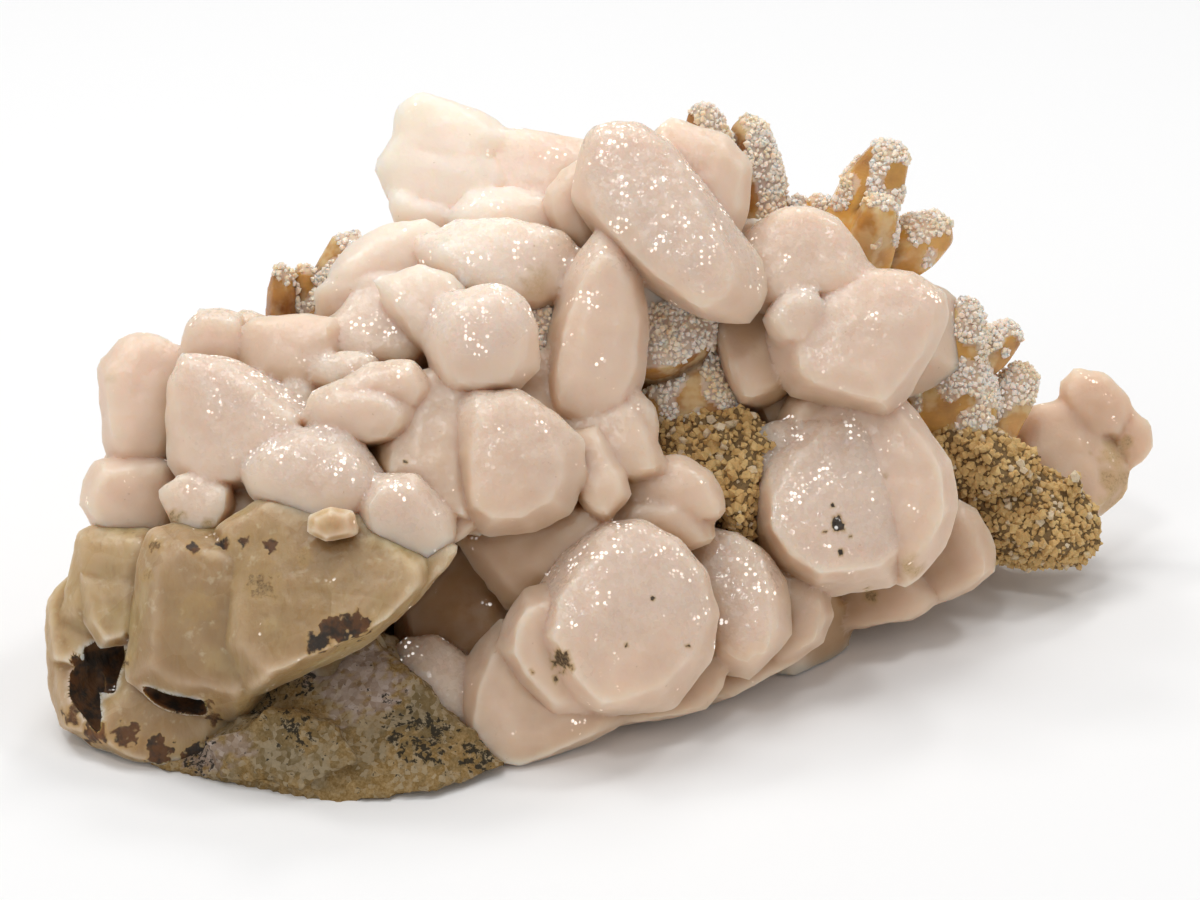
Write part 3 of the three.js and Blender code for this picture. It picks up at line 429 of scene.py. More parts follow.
    crystal(19, 0.5, 0.2, 20.5, 48.5, 25, 48, 30.5, 50.2, 31, 53, 26, 54.5, 21.5, 53.5),
    crystal(31, 0.3, 0.5, 15.2, 40, 17.5, 38.6, 19.5, 42, 19, 47, 14.6, 47, 14.2, 43),
    crystal(33, 0.35, 0.6, 22.6, 32, 24.6, 31.1, 27.2, 32, 27, 35.5, 24, 36, 22.6, 34),
    crystal(24, 0.2, 0.7, 27.8, 39.5, 28.6, 38, 31, 37.8, 31.4, 40.6, 29.4, 41.2, 27.9, 40.8),
    crystal(15, 0.45, 0.3, 43.2, 51.2, 46.5, 51.2, 47.6, 52.4, 46.4, 53.6, 44, 55, 42.8, 54),
    crystal(44, 0.2, 0.6, 73, 22.2, 76, 21.8, 77, 23.6, 74.6, 24.6, 73, 24),
]

STAINED = [
    crystal(17, 0.1, 0.1, 8, 53.5, 9.6, 52.8, 14.4, 53.1, 15.4, 54.5, 14.8, 58, 14.4, 61.3, 10, 63,
        7, 61, 7.4, 57),
    crystal(17, 0.15, 0.1, 5, 60, 7.6, 57, 10.4, 57.5, 11, 60, 10, 64.5, 8, 66.5, 5.2, 66, 4.8, 63),
    crystal(14, 0.3, 0.1, 8.6, 58, 12, 57, 14.5, 58.2, 14.5, 61.4, 12.5, 63.5, 10.4, 63.9, 9, 62),
    crystal(11, 0.85, 0.1, 14.4, 56.5, 15.6, 53.6, 18, 52.8, 22, 53.2, 26, 54.3, 29, 57, 30, 62,
        28, 66.5, 23.5, 69.5, 17.5, 68.5, 14.4, 66),
    crystal(10, 0.6, 0.1, 22.5, 53, 27, 50.5, 31, 51, 36, 51.5, 39.5, 54, 43, 55.6, 43, 57.5,
        41, 59.5, 39.6, 61.2, 36, 63, 30, 66, 26, 67.5, 22.6, 64),
    crystal(11, 0.3, 0.1, 39, 54.6, 43.6, 55, 46, 54.4, 44.6, 56.6, 42, 59.3, 40.2, 59.3, 38.6, 58),
    crystal(8.5, 0.5, 0.1, 31.3, 51.6, 33, 50.7, 35, 51.2, 35.2, 53.2, 32.6, 53.8, 31.2, 53),
    crystal(14, 0.55, 0.1, 5.2, 65, 8, 63.4, 12.3, 63.4, 15, 66, 14.6, 69.6, 11.8, 72, 9.8, 74,
        6.4, 72.3, 5.2, 69),
    crystal(11, 0.6, 0.1, 9, 71.4, 13, 66, 20, 66.4, 26, 67, 30, 67.6, 27, 71.6, 22, 74.6,
        16, 76.4, 12.4, 75.6, 9, 73.6),
    crystal(19, 0.9, 0.1, 7, 60, 14, 56, 28, 56, 36, 60, 34, 65, 22, 72, 10, 72),
    crystal(12, 0.6, 0.1, 30, 66, 33.6, 63.4, 37, 63.3, 38.8, 65.6, 39.9, 68.4, 38.6, 69.8,
        35, 70.6, 32, 69.4),
]

# Hollows cut into the stained block.
PITS = [
    crystal(12.8, 0, 0, 8.4, 64.8, 10.2, 64, 12.2, 64.2, 12.2, 67, 11.6, 69.3, 9.8, 69, 8.6, 67.6),
    crystal(10.8, 0, 0, 6.6, 66.6, 7.4, 65.2, 8, 67.5, 8.8, 70, 10.6, 72.4, 10, 73.8, 8.4, 71.6,
        6.9, 69.6),
    crystal(7.6, 0, 0, 14.2, 69.3, 16.6, 67.2, 18.8, 68.2, 20.6, 69.5, 20.2, 71.6, 17.8, 71.4,
        15.4, 70.4),
]

RIGHT_PAIR = [
    crystal(54, 0.5, 0.2, 101.6, 43.4, 103.4, 40.9, 106.5, 40.1, 108.8, 41.6, 110.4, 43.8,
        112.7, 46.5, 112, 49, 110, 51, 106, 49.6, 102.4, 46),
    crystal(57, 0.5, 0.2, 106.3, 38.4, 107.6, 37.2, 110.5, 37.6, 112.4, 39.4, 113, 41.5, 112, 43.2,
        109.6, 43.4, 107.6, 41.4),
    crystal(56, 0.5, 0.2, 112, 41.6, 113.4, 40.8, 115, 42.4, 115.3, 44.5, 114.4, 46, 112.9, 46.7,
        111.6, 44.4),
]


# The cluster's body behind the drawn crystals: [(across, down, deep), radius in millimetres].
BODY = [
    ((23, 46, 40), 14), ((14, 49, 31), 9), ((24, 50, 30), 12), ((31, 46.5, 26), 11),
    ((40, 51, 23), 11), ((48, 50, 34), 14), ((36, 48, 36), 21), ((46, 34, 46), 17),
    ((58, 56, 34), 19), ((64, 36, 52), 19), ((80, 48, 48), 18), ((78, 62, 34), 13),
    ((54, 68, 22), 12), ((47, 69, 19), 9), ((71, 55, 31), 9), ((94, 52, 52), 13),
]
LUMP_CORNERS = 12
BODY_ROUGHNESS, BACK_ROUGHNESS = 0.1, 0.25
# The body shows only in the gaps between the drawn crystals; its warm mark is painted shade there.
BODY_SHADE_MARKS = (0.85, 0.1, 0, 0)
BODY_SEED = 300
# The crystals of the back, in rows that rise and lean over it; lengths in millimetres.
BACK_SEED = 400
BACK_ROWS, BACK_COLUMNS = 3, 6
BACK_LEFT, BACK_PITCH, BACK_SHAKE = -60, 20, 5
BACK_FOOT, BACK_SLANT, BACK_DEPTH, BACK_DEPTH_SHAKE = 11, 0.2, 22, 3
BACK_TOP, BACK_FALL, BACK_CREST, BACK_PAST_LAST = 64, 0.0062, -6, 0.7
BACK_RADIUS, BACK_RADIUS_MORE = 11, 4

# Quartz groups: six-sided points as (foot, tip, radius in millimetres, twist), feet and tips as
# (across, down, deep), then crystals that are drawn.
QUARTZ = {
    "quartz_points_top": (
        [
            ((71.4, 21, 49), (70.2, 10.2, 49), 4.2, 10),
            ((76.4, 25, 48), (74.6, 11.2, 52), 4.9, 25),
            ((79.6, 22.4, 50), (80, 19.4, 51), 1.6, 0),
        ],
        [],
    ),
    "quartz_points_upper_right": (
        [
            ((83.6, 26, 52), (89.8, 13.9, 54), 5.6, 20),
            ((87, 27, 54), (95.2, 22.2, 54), 5.2, 10),
            ((85.6, 29, 51), (88.4, 19.6, 47), 4.4, 30),
            ((84, 23.5, 53), (80.8, 19.6, 54), 2.6, 0),
        ],
        [],
    ),
    "quartz_points_right": (
        [
            ((95, 38, 52), (102, 32.6, 54), 4.0, 12),
            ((96, 40, 50), (96.6, 29.6, 53), 4.4, 0),
            ((98.6, 44, 51), (103, 36.3, 54), 4.2, 20),
        ],
        [
            crystal(49, 0.5, 0.3, 90, 38.5, 93, 35, 97, 34, 98.6, 36.5, 99.6, 40, 99, 43.4, 95, 44,
                91, 42.4),
        ],
    ),
    "quartz_points_middle": (
        [],
        [
            crystal(36, 0.7, 0.0, 63.8, 39, 66.5, 36.6, 69.4, 36, 71, 34.6, 72.8, 37.5, 73.9, 40.4,
                72.5, 42.4, 69, 43.4, 66, 42.8, 64.4, 41.4),
            crystal(38, 1.0, 0.3, 62.6, 25.6, 64.4, 26.4, 69.5, 30.2, 71.8, 32, 71, 35, 67, 37,
                63.6, 37.6),
        ],
    ),
    "quartz_point_in_gap": (
        [],
        [
            crystal(32, 0.9, 0.0, 50, 38.6, 51.6, 31, 54.4, 29.5, 56, 30.8, 56.2, 36, 56, 42.4,
                53, 40),
        ],
    ),
    "quartz_points_left": (
        [
            ((28, 33.5, 38), (28.2, 26.3, 38), 2.3, 0),
            ((31.4, 33, 40), (30.2, 26.3, 40), 2.6, 25),
            ((35.5, 32, 38), (33.6, 26.8, 38), 3.2, 10),
        ],
        [
            crystal(39, 0.6, 0.4, 27.4, 31, 29, 28.6, 33, 28.4, 36, 33, 30, 33.6),
            crystal(41, 0.5, 0.6, 31.6, 26.8, 33.4, 23.7, 35.6, 23.4, 37.4, 25, 35.6, 29.6,
                32, 29.4),
        ],
    ),
}

# Brown and black marks on the calcite: (across, down, radius in steps, strength).
STAINS = [
    (83.8, 52.4, 0.75, 1.0), (84.1, 55.2, 0.3, 1.0), (83.2, 50.6, 0.22, 0.9),
    (82.5, 53.2, 0.25, 0.8), (85.0, 53.6, 0.2, 0.8), (56.1, 66.0, 1.0, 0.75),
    (65.3, 59.8, 0.22, 0.9), (62.6, 64.5, 0.2, 0.9), (68.8, 64.7, 0.28, 0.9),
    (55.5, 68.0, 0.3, 0.8), (53.1, 67.2, 0.2, 0.8), (52.4, 66.4, 0.16, 0.8),
    (40.6, 46.3, 0.28, 0.8), (53.8, 28.2, 1.5, 0.35), (17.6, 51.8, 0.9, 0.55),
    (20.8, 52.6, 0.8, 0.5), (11.0, 38.2, 0.3, 0.6), (88.6, 47.6, 0.3, 0.4), (91.0, 56.8, 1.0, 0.5),
    (87.0, 59.6, 0.7, 0.6),
]
PAIR_STAINS = [
    (111.2, 45.4, 1.3, 0.45), (111.6, 48, 1.5, 0.5), (111.2, 50.5, 1.2, 0.45),
    (112.6, 44.2, 0.7, 0.5),
]
# The same on the stained block, where iron has run along its cracks.
RUST = [
    (19.5, 54.8, 0.8, 0.9), (22.4, 54.4, 0.7, 0.9), (24.5, 54.1, 0.6, 0.8), (27.0, 54.5, 0.8, 0.9),
    (26.2, 58.4, 1.6, 0.6), (19.6, 60.6, 1.6, 0.35), (33.6, 62.9, 1.6, 1.0), (35.6, 62.6, 1.3, 1.0),
    (31.9, 64.2, 1.2, 0.9), (12.6, 73.6, 1.3, 0.9), (16.0, 75.0, 1.4, 1.0), (19.6, 75.6, 1.3, 1.0),
    (12.4, 66.0, 0.7, 0.7), (7.2, 71.4, 0.9, 0.8), (9.6, 73.4, 1.2, 0.9), (20.6, 70.4, 0.8, 0.8),
    (24.5, 70.6, 1.0, 0.5), (21.4, 71.8, 0.8, 0.8), (40.6, 54.4, 0.9, 0.5), (14.7, 57.6, 0.6, 0.5),
    (15.6, 54.6, 0.7, 0.7), (30.4, 55.8, 0.8, 0.5),
]


# Solids from points

FULLNESS = 1.02
SAME_PLANE = 0.996
LEAST_DISTANCE = 0.2 * MM
WELD = 0.001 * MM


def hull_planes(points):
    """The planes round a set of points: outward normals, and distances from the points' middle."""
    bm = bmesh.new()
    for point in points:
        bm.verts.new(point)
    bmesh.ops.convex_hull(bm, input=bm.verts)
    bm.normal_update()
    middle = sum(points, Vector()) / len(points)
    planes = []
    for face in sorted(bm.faces, key=lambda f: -f.calc_area()):
        away = face.normal.dot(face.calc_center_median() - middle)
        normal = face.normal if away > 0 else -face.normal
        if all(normal.dot(other) < SAME_PLANE for other, _ in planes):
            planes.append((normal.copy(), max(abs(away), LEAST_DISTANCE)))
    bm.free()
    return np.array([n for n, _ in planes]), np.array([d for _, d in planes]), np.array(middle)


spheres = {}


def sphere(level):
    """Directions spread evenly over a sphere, and the triangles between them."""
    if level not in spheres:
        bm = bmesh.new()
        bmesh.ops.create_icosphere(bm, subdivisions=level, radius=1)
        directions = np.array([v.co[:] for v in bm.verts])
        faces = [[v.index for v in face.verts] for face in bm.faces]
        bm.free()
        spheres[level] = directions, faces
    return spheres[level]


def new_mesh(name, points, faces, marks):
    """A mesh whose points all have the same marks."""
    mesh = bpy.data.meshes.new(name)
    mesh.from_pydata([tuple(p) for p in points], [], faces)
    write_marks(mesh, np.tile(marks, (len(points), 1)))
    mesh.update()
    return mesh


def rounded(name, points, softness, level, marks):
    """A crystal with rounded edges: in each direction it reaches a softened least distance."""
    normals, distances, middle = hull_planes(points)
    directions, faces = sphere(level)
    nearness = np.maximum(directions @ normals.T, 0) / distances
    reach = FULLNESS * (nearness**softness).sum(1) ** (-1 / softness)
    return new_mesh(name, middle + directions * reach[:, None], faces, marks)


def new_object(mesh, collection=None):
    thing = bpy.data.objects.new(mesh.name, mesh)
    (collection or bpy.context.scene.collection).objects.link(thing)
    return thing


def evaluated(thing):
    """A plain mesh of an object with its modifiers, which are then removed."""
    depsgraph = bpy.context.evaluated_depsgraph_get()
    mesh = bpy.data.meshes.new_from_object(thing.evaluated_get(depsgraph), depsgraph=depsgraph)
    thing.modifiers.clear()
    return mesh


def combined(name, meshes, operation="UNION"):
    """One closed mesh from overlapping ones; the first is joined with or cut by the others."""
    if len(meshes) == 1:
        return meshes[0]
    others = bpy.data.collections.new(name + "_parts")
    bpy.context.scene.collection.children.link(others)
    first = new_object(meshes[0])
    for mesh in meshes[1:]:
        new_object(mesh, others)
    cut = first.modifiers.new("combine", "BOOLEAN")
    cut.operation = operation
    cut.operand_type = "COLLECTION"
    cut.collection = others
    cut.solver = "MANIFOLD"
    result = evaluated(first)
    for part in list(others.objects) + [first]:
        bpy.data.objects.remove(part)
    bpy.data.collections.remove(others)
    result.name = name
    mend_marks(result)
    return result


MEND_ROUNDS = 4


def mend_marks(mesh):
    """Gives the points where two solids meet the marks of the points around them."""
    if "marks" not in mesh.attributes:
        return
    marks = read_marks(mesh)
    ends = edge_ends(mesh)
    known = marks[:, 3] < 1
    for _ in range(MEND_ROUNDS):
        total, count = np.zeros_like(marks), np.zeros(len(marks))
        for here, there in (ends, ends[::-1]):
            given = known[there] & ~known[here]
            np.add.at(total, here[given], marks[there[given]])
            np.add.at(count, here[given], 1)
        found = count > 0
        marks[found] = total[found] / count[found, None]
        known |= found
    marks[~known] = 0
    write_marks(mesh, marks)


def fine_copy(mesh, voxel):
    """A closed, evenly fine copy of a mesh."""
    thing = new_object(mesh)
    remesh = thing.modifiers.new("fine", "REMESH")
    remesh.mode = "VOXEL"
    remesh.voxel_size = voxel
    result = evaluated(thing)
    bpy.data.objects.remove(thing)
    return result


def cad_copy(node, voxel):
    """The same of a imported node's mesh."""
    bm = bmesh.new()
    bm.from_mesh(frame["nodes"][node].data)
    bmesh.ops.remove_doubles(bm, verts=bm.verts, dist=WELD)
    mesh = bpy.data.meshes.new(node + "_copy")
    bm.to_mesh(mesh)
    bm.free()
    return fine_copy(mesh, voxel)


# Work on the points of a mesh


def read_points(mesh):
    points = np.empty(len(mesh.vertices) * 3, np.float32)
    mesh.vertices.foreach_get("co", points)
    return points.reshape(-1, 3).astype(float)


def read_normals(mesh):
    normals = np.empty(len(mesh.vertices) * 3, np.float32)
    mesh.vertex_normals.foreach_get("vector", normals)
    return normals.reshape(-1, 3).astype(float)


def edge_ends(mesh):
    ends = np.empty(len(mesh.edges) * 2, np.int32)
    mesh.edges.foreach_get("vertices", ends)
    return ends.reshape(-1, 2).T


def read_marks(mesh):
    marks = np.zeros(len(mesh.vertices) * 4, np.float32)
    if "marks" in mesh.attributes:
        mesh.attributes["marks"].data.foreach_get("color", marks)
    return marks.reshape(-1, 4).astype(float)


def write_marks(mesh, marks):
    if "marks" not in mesh.attributes:
        mesh.attributes.new("marks", "FLOAT_COLOR", "POINT")
    mesh.attributes["marks"].data.foreach_set("color", marks.astype(np.float32).ravel())


def write_points(mesh, points):
    mesh.vertices.foreach_set("co", points.astype(np.float32).ravel())
    mesh.update()


def waves(points, size, shift=0.0):
    """Smooth noise from -1 to 1 at each point, with bumps of about this size."""
    scaled = points / size + shift
    return np.array([noise.noise(Vector(p)) for p in scaled])


def ridges(points, size, shift=0.0):
    """Cells of about this size: the distance from each point to the nearest cell's middle."""
    scaled = points / size + shift
    return np.array([noise.voronoi(Vector(p))[0][0] for p in scaled])


LEAST_FOLD = math.radians(25)
FOLD_FADE = 0.6
FOLD_PULL = 0.6
RECESS_RAYS = 10
RECESS_REACH = 16 * MM
RECESS_FADE = 0.5
RECESS_START = 0.15 * MM
NEARLY_UPRIGHT = 0.9
BLUR_ROUNDS = 3
RIM_RADIUS = 2.5 * MM


def creases(mesh, rounds=3):
    """How near each point is to an inward fold, from 0 to 1."""
    bm = bmesh.new()
    bm.from_mesh(mesh)
    deep = np.zeros(len(bm.verts))
    ends = np.array([[v.index for v in edge.verts] for edge in bm.edges])
    for edge in bm.edges:
        if len(edge.link_faces) == 2 and edge.calc_face_angle_signed() < -LEAST_FOLD:
            for v in edge.verts:
                deep[v.index] = 1
    bm.free()
    for _ in range(rounds):
        spread = deep.copy()
        np.maximum.at(spread, ends[:, 0], deep[ends[:, 1]] * FOLD_FADE)
        np.maximum.at(spread, ends[:, 1], deep[ends[:, 0]] * FOLD_FADE)
        deep = spread
    return deep


def recess(mesh, points, normals):
    """How closed in each point is by the solid around it, from 0 to 1, for the painted shade in
    hollows.
    """
    mesh.calc_loop_triangles()
    corners = np.empty(len(mesh.loop_triangles) * 3, np.int32)
    mesh.loop_triangles.foreach_get("vertices", corners)
    tree = BVHTree.FromPolygons(points.tolist(), corners.reshape(-1, 3).tolist())
    angles = GOLDEN_ANGLE * np.arange(RECESS_RAYS)
    steps = (np.arange(RECESS_RAYS) + 0.5) / RECESS_RAYS
    wide = np.sqrt(steps)
    unit = np.stack([np.cos(angles) * wide, np.sin(angles) * wide, np.sqrt(1 - steps)], 1)
    upright = np.abs(normals[:, 2:]) < NEARLY_UPRIGHT
    aside = np.cross(normals, np.where(upright, [[0, 0, 1.0]], [[1.0, 0, 0]]))
    aside /= np.linalg.norm(aside, axis=1)[:, None]
    across = np.cross(normals, aside)
    start = points + normals * RECESS_START
    recess_shade = np.zeros(len(points))
    for a, b, c in unit:
        rays = aside * a + across * b + normals * c
        for i, (point, ray) in enumerate(zip(start.tolist(), rays.tolist())):
            away = tree.ray_cast(point, ray, RECESS_REACH)[3]
            if away is not None:
                recess_shade[i] += 1 - away / RECESS_REACH * RECESS_FADE
    return blurred(mesh, recess_shade / RECESS_RAYS)


def neighbours(one, other, size):
    """How many points each point is joined to."""
    return np.bincount(np.concatenate([one, other]), minlength=size)


def gathered(one, other, to_one, to_other, size):
    """The sum at each point of what its edges give to their two ends."""
    return np.bincount(one, to_one, size) + np.bincount(other, to_other, size)


def blurred(mesh, values):
    """Each point's value mixed with its neighbours'."""
    one, other = edge_ends(mesh)
    size = len(values)
    count = neighbours(one, other, size)
    for _ in range(BLUR_ROUNDS):
        total = gathered(one, other, values[other], values[one], size)
        values = (values + total / count) / 2
    return values


def bulge(mesh, points, normals):
    """How sharply each point stands out, from -1 in a fold to 1 on an edge."""
    one, other = edge_ends(mesh)
    apart = points[one] - points[other]
    length = np.linalg.norm(apart, axis=1) ** 2
    slope = np.einsum("ij,ij->i", apart, normals[one]) / length
    back = np.einsum("ij,ij->i", -apart, normals[other]) / length
    total = gathered(one, other, slope, back, len(points))
    bend = total / neighbours(one, other, len(points))
    return np.clip(blurred(mesh, bend) * RIM_RADIUS, -1, 1)


def soften_folds(mesh, fold, rounds):
    """Rounds the inward folds a little, where one crystal grew against the next."""
    points = read_points(mesh)
    one, other = edge_ends(mesh)
    count = neighbours(one, other, len(points))[:, None]
    for _ in range(rounds):
        total = np.zeros_like(points)
        np.add.at(total, one, points[other])
        np.add.at(total, other, points[one])
        points += (total / count - points) * FOLD_PULL * fold[:, None]
    write_points(mesh, points)


MARK_REACH, MARK_RISE = 1.25, 2.2
FACING = 0.15


def spots(points, normals, drawn_marks, ragged=0.35):
    """Strength of the drawn marks at each point that faces the viewer."""
    drawn = on_sheet(points)
    rough = waves(points, 1.1 * MM, 3.0) + 0.6 * waves(points, 0.5 * MM, 9.0)
    facing = normals @ np.array(SIGHT) < FACING
    total = np.zeros(len(points))
    for across, down, radius, strength in drawn_marks:
        away = np.hypot(drawn[:, 0] - across, drawn[:, 1] - down) / radius
        cover = np.clip((MARK_REACH + ragged * rough * 2 - away) * MARK_RISE, 0, 1) * strength
        total = np.maximum(total, np.where(facing, cover, 0))
    return total


def sharpen(mesh, angle):
    """Smooth shading, with edges sharper than this kept crisp."""
    mesh.shade_smooth()
    mesh.set_sharp_from_angle(angle=math.radians(angle))


# Materials and node trees


class Socket:
    """A node's output that can stand in sums, as a number does."""

    def __init__(self, tree, socket):
        self.tree, self.socket = tree, socket

    def of(self, name):
        """Another output of the same node."""
        return Socket(self.tree, self.socket.node.outputs[name])

    def _with(self, operation, first, second):
        return self.tree.node("ShaderNodeMath", {"operation": operation}, {0: first, 1: second})

    def __add__(self, other):
        return self._with("ADD", self, other)

    __radd__ = __add__

    def __sub__(self, other):
        return self._with("SUBTRACT", self, other)

    def __rsub__(self, other):
        return self._with("SUBTRACT", other, self)

    def __mul__(self, other):
        return self._with("MULTIPLY", self, other)

    __rmul__ = __mul__

    def least(self, other):
        """The smaller of two values."""
        return self._with("MINIMUM", self, other)

    def held(self):
        """The same value, kept between 0 and 1."""
        return self.tree.node("ShaderNodeClamp", {}, {"Value": self})


class Tree:
    """Adds nodes to the node tree of a material or of a modifier."""

    def __init__(self, tree):
        self.tree = tree

    def node(self, kind, settings=None, sockets=None, output=0):
        made = self.tree.nodes.new(kind)
        for name, value in (settings or {}).items():
            setattr(made, name, value)
        for key, value in (sockets or {}).items():
            if isinstance(value, Socket):
                self.tree.links.new(value.socket, made.inputs[key])
            else:
                made.inputs[key].default_value = value
        return Socket(self, made.outputs[output]) if made.outputs else None

    def mix(self, share, first, second, blend="MIX"):
        """A colour between two others."""
        settings = {"data_type": "RGBA", "blend_type": blend}
        first, second = (c if isinstance(c, Socket) else rgba(c) for c in (first, second))
        return self.node("ShaderNodeMix", settings, {0: share, 6: first, 7: second}, output=2)

    def vector(self, operation, first, second=None, scale=None):
        sockets = {0: first}
        if second is not None:
            sockets[1] = second
        if scale is not None:
            sockets["Scale"] = scale
        return self.node("ShaderNodeVectorMath", {"operation": operation}, sockets)

    def at(self):
        """The point of the surface, in metres."""
        return self.node("ShaderNodeTexCoord", output="Object")

    def noise(self, size, detail=2.0, roughness=0.5, stretch=None, distortion=0.0):
        """Cloudy noise with features of about this size."""
        at = self.at()
        if stretch:
            at = self.node("ShaderNodeMapping", {}, {"Vector": at, "Scale": stretch})
        values = {"Scale": 1 / size, "Detail": detail, "Roughness": roughness}
        return self.node(
            "ShaderNodeTexNoise", {}, {"Vector": at, **values, "Distortion": distortion}
        )

    def cells(self, size, output="Color"):
        """Irregular cells of about this size."""
        values = {"Vector": self.at(), "Scale": 1 / size}
        return self.node("ShaderNodeTexVoronoi", {}, values, output=output)

    def channel(self, colour, name):
        """One channel of a colour."""
        return self.node("ShaderNodeSeparateColor", {}, {"Color": colour}, output=name)

    def bump(self, height, distance, strength, **more):
        values = {"Height": height, "Distance": distance, "Strength": strength, **more}
        return self.node("ShaderNodeBump", {}, values)

    def ramp(self, value, low, high):
        """Rises smoothly from 0 at low to 1 at high."""
        settings = {"interpolation_type": "SMOOTHSTEP"}
        values = {"Value": value, "From Min": low, "From Max": high}
        return self.node("ShaderNodeMapRange", settings, values)


def rgba(colour):
    return (*colour[:3], 1)


def new_finish(name):
    """An empty material and its tree."""
    finish = bpy.data.materials.new(name)
    finish.use_nodes = True
    finish.node_tree.nodes.clear()
    return finish, Tree(finish.node_tree)


def set_surface(tree, sockets):
    shader = tree.node("ShaderNodeBsdfPrincipled", {}, sockets)
    tree.node("ShaderNodeOutputMaterial", {}, {"Surface": shader})


def read_mark_sockets(tree):
    """The painted marks of the surface: four values."""
    marks = tree.node("ShaderNodeAttribute", {"attribute_name": "marks"}, output="Color")
    split = tree.node("ShaderNodeSeparateColor", {}, {"Color": marks})
    return split.of("Red"), split.of("Green"), split.of("Blue"), marks.of("Alpha")


def facets(tree, size, amount):
    """Normals of small flat facets that each lean their own way."""
    lean = tree.vector("SUBTRACT", tree.cells(size), (0.5, 0.5, 0.5))
    normal = tree.node("ShaderNodeNewGeometry", output="Normal")
    leant = tree.vector("ADD", normal, tree.vector("SCALE", lean, scale=amount))
    return tree.vector("NORMALIZE", leant)


# Size and colour of the painted glints: small white spots that glow as emission.
GLINT_SIZE = 0.62 * MM
PAINTED_GLINT_WHITE = (1.0, 0.97, 0.93)
FROST_MAUVE = (0.68, 0.565, 0.49)
COOL_TINT = (0.90, 0.92, 0.96)
SPECK_BROWN = (0.45, 0.28, 0.16)
# Cream is also the colour of the painted glow on outward edges.
CREAM_AND_EDGE_GLOW = (0.96, 0.83, 0.72)
STAINED_OCHRE = (0.22, 0.10, 0.020)
STAIN_TAN = (0.46, 0.30, 0.12)
STAIN_BROWN = (0.075, 0.036, 0.014)
STAIN_BLACK = (0.03, 0.018, 0.01)
RUST_BROWN = (0.13, 0.050, 0.010)
CLEAVED_OLIVE = (0.50, 0.37, 0.16)
CLEAVED_RUST = (0.30, 0.16, 0.040)
CLEAVED_PALE = (0.68, 0.60, 0.42)
CLEAVED_TAN = (0.74, 0.58, 0.38)


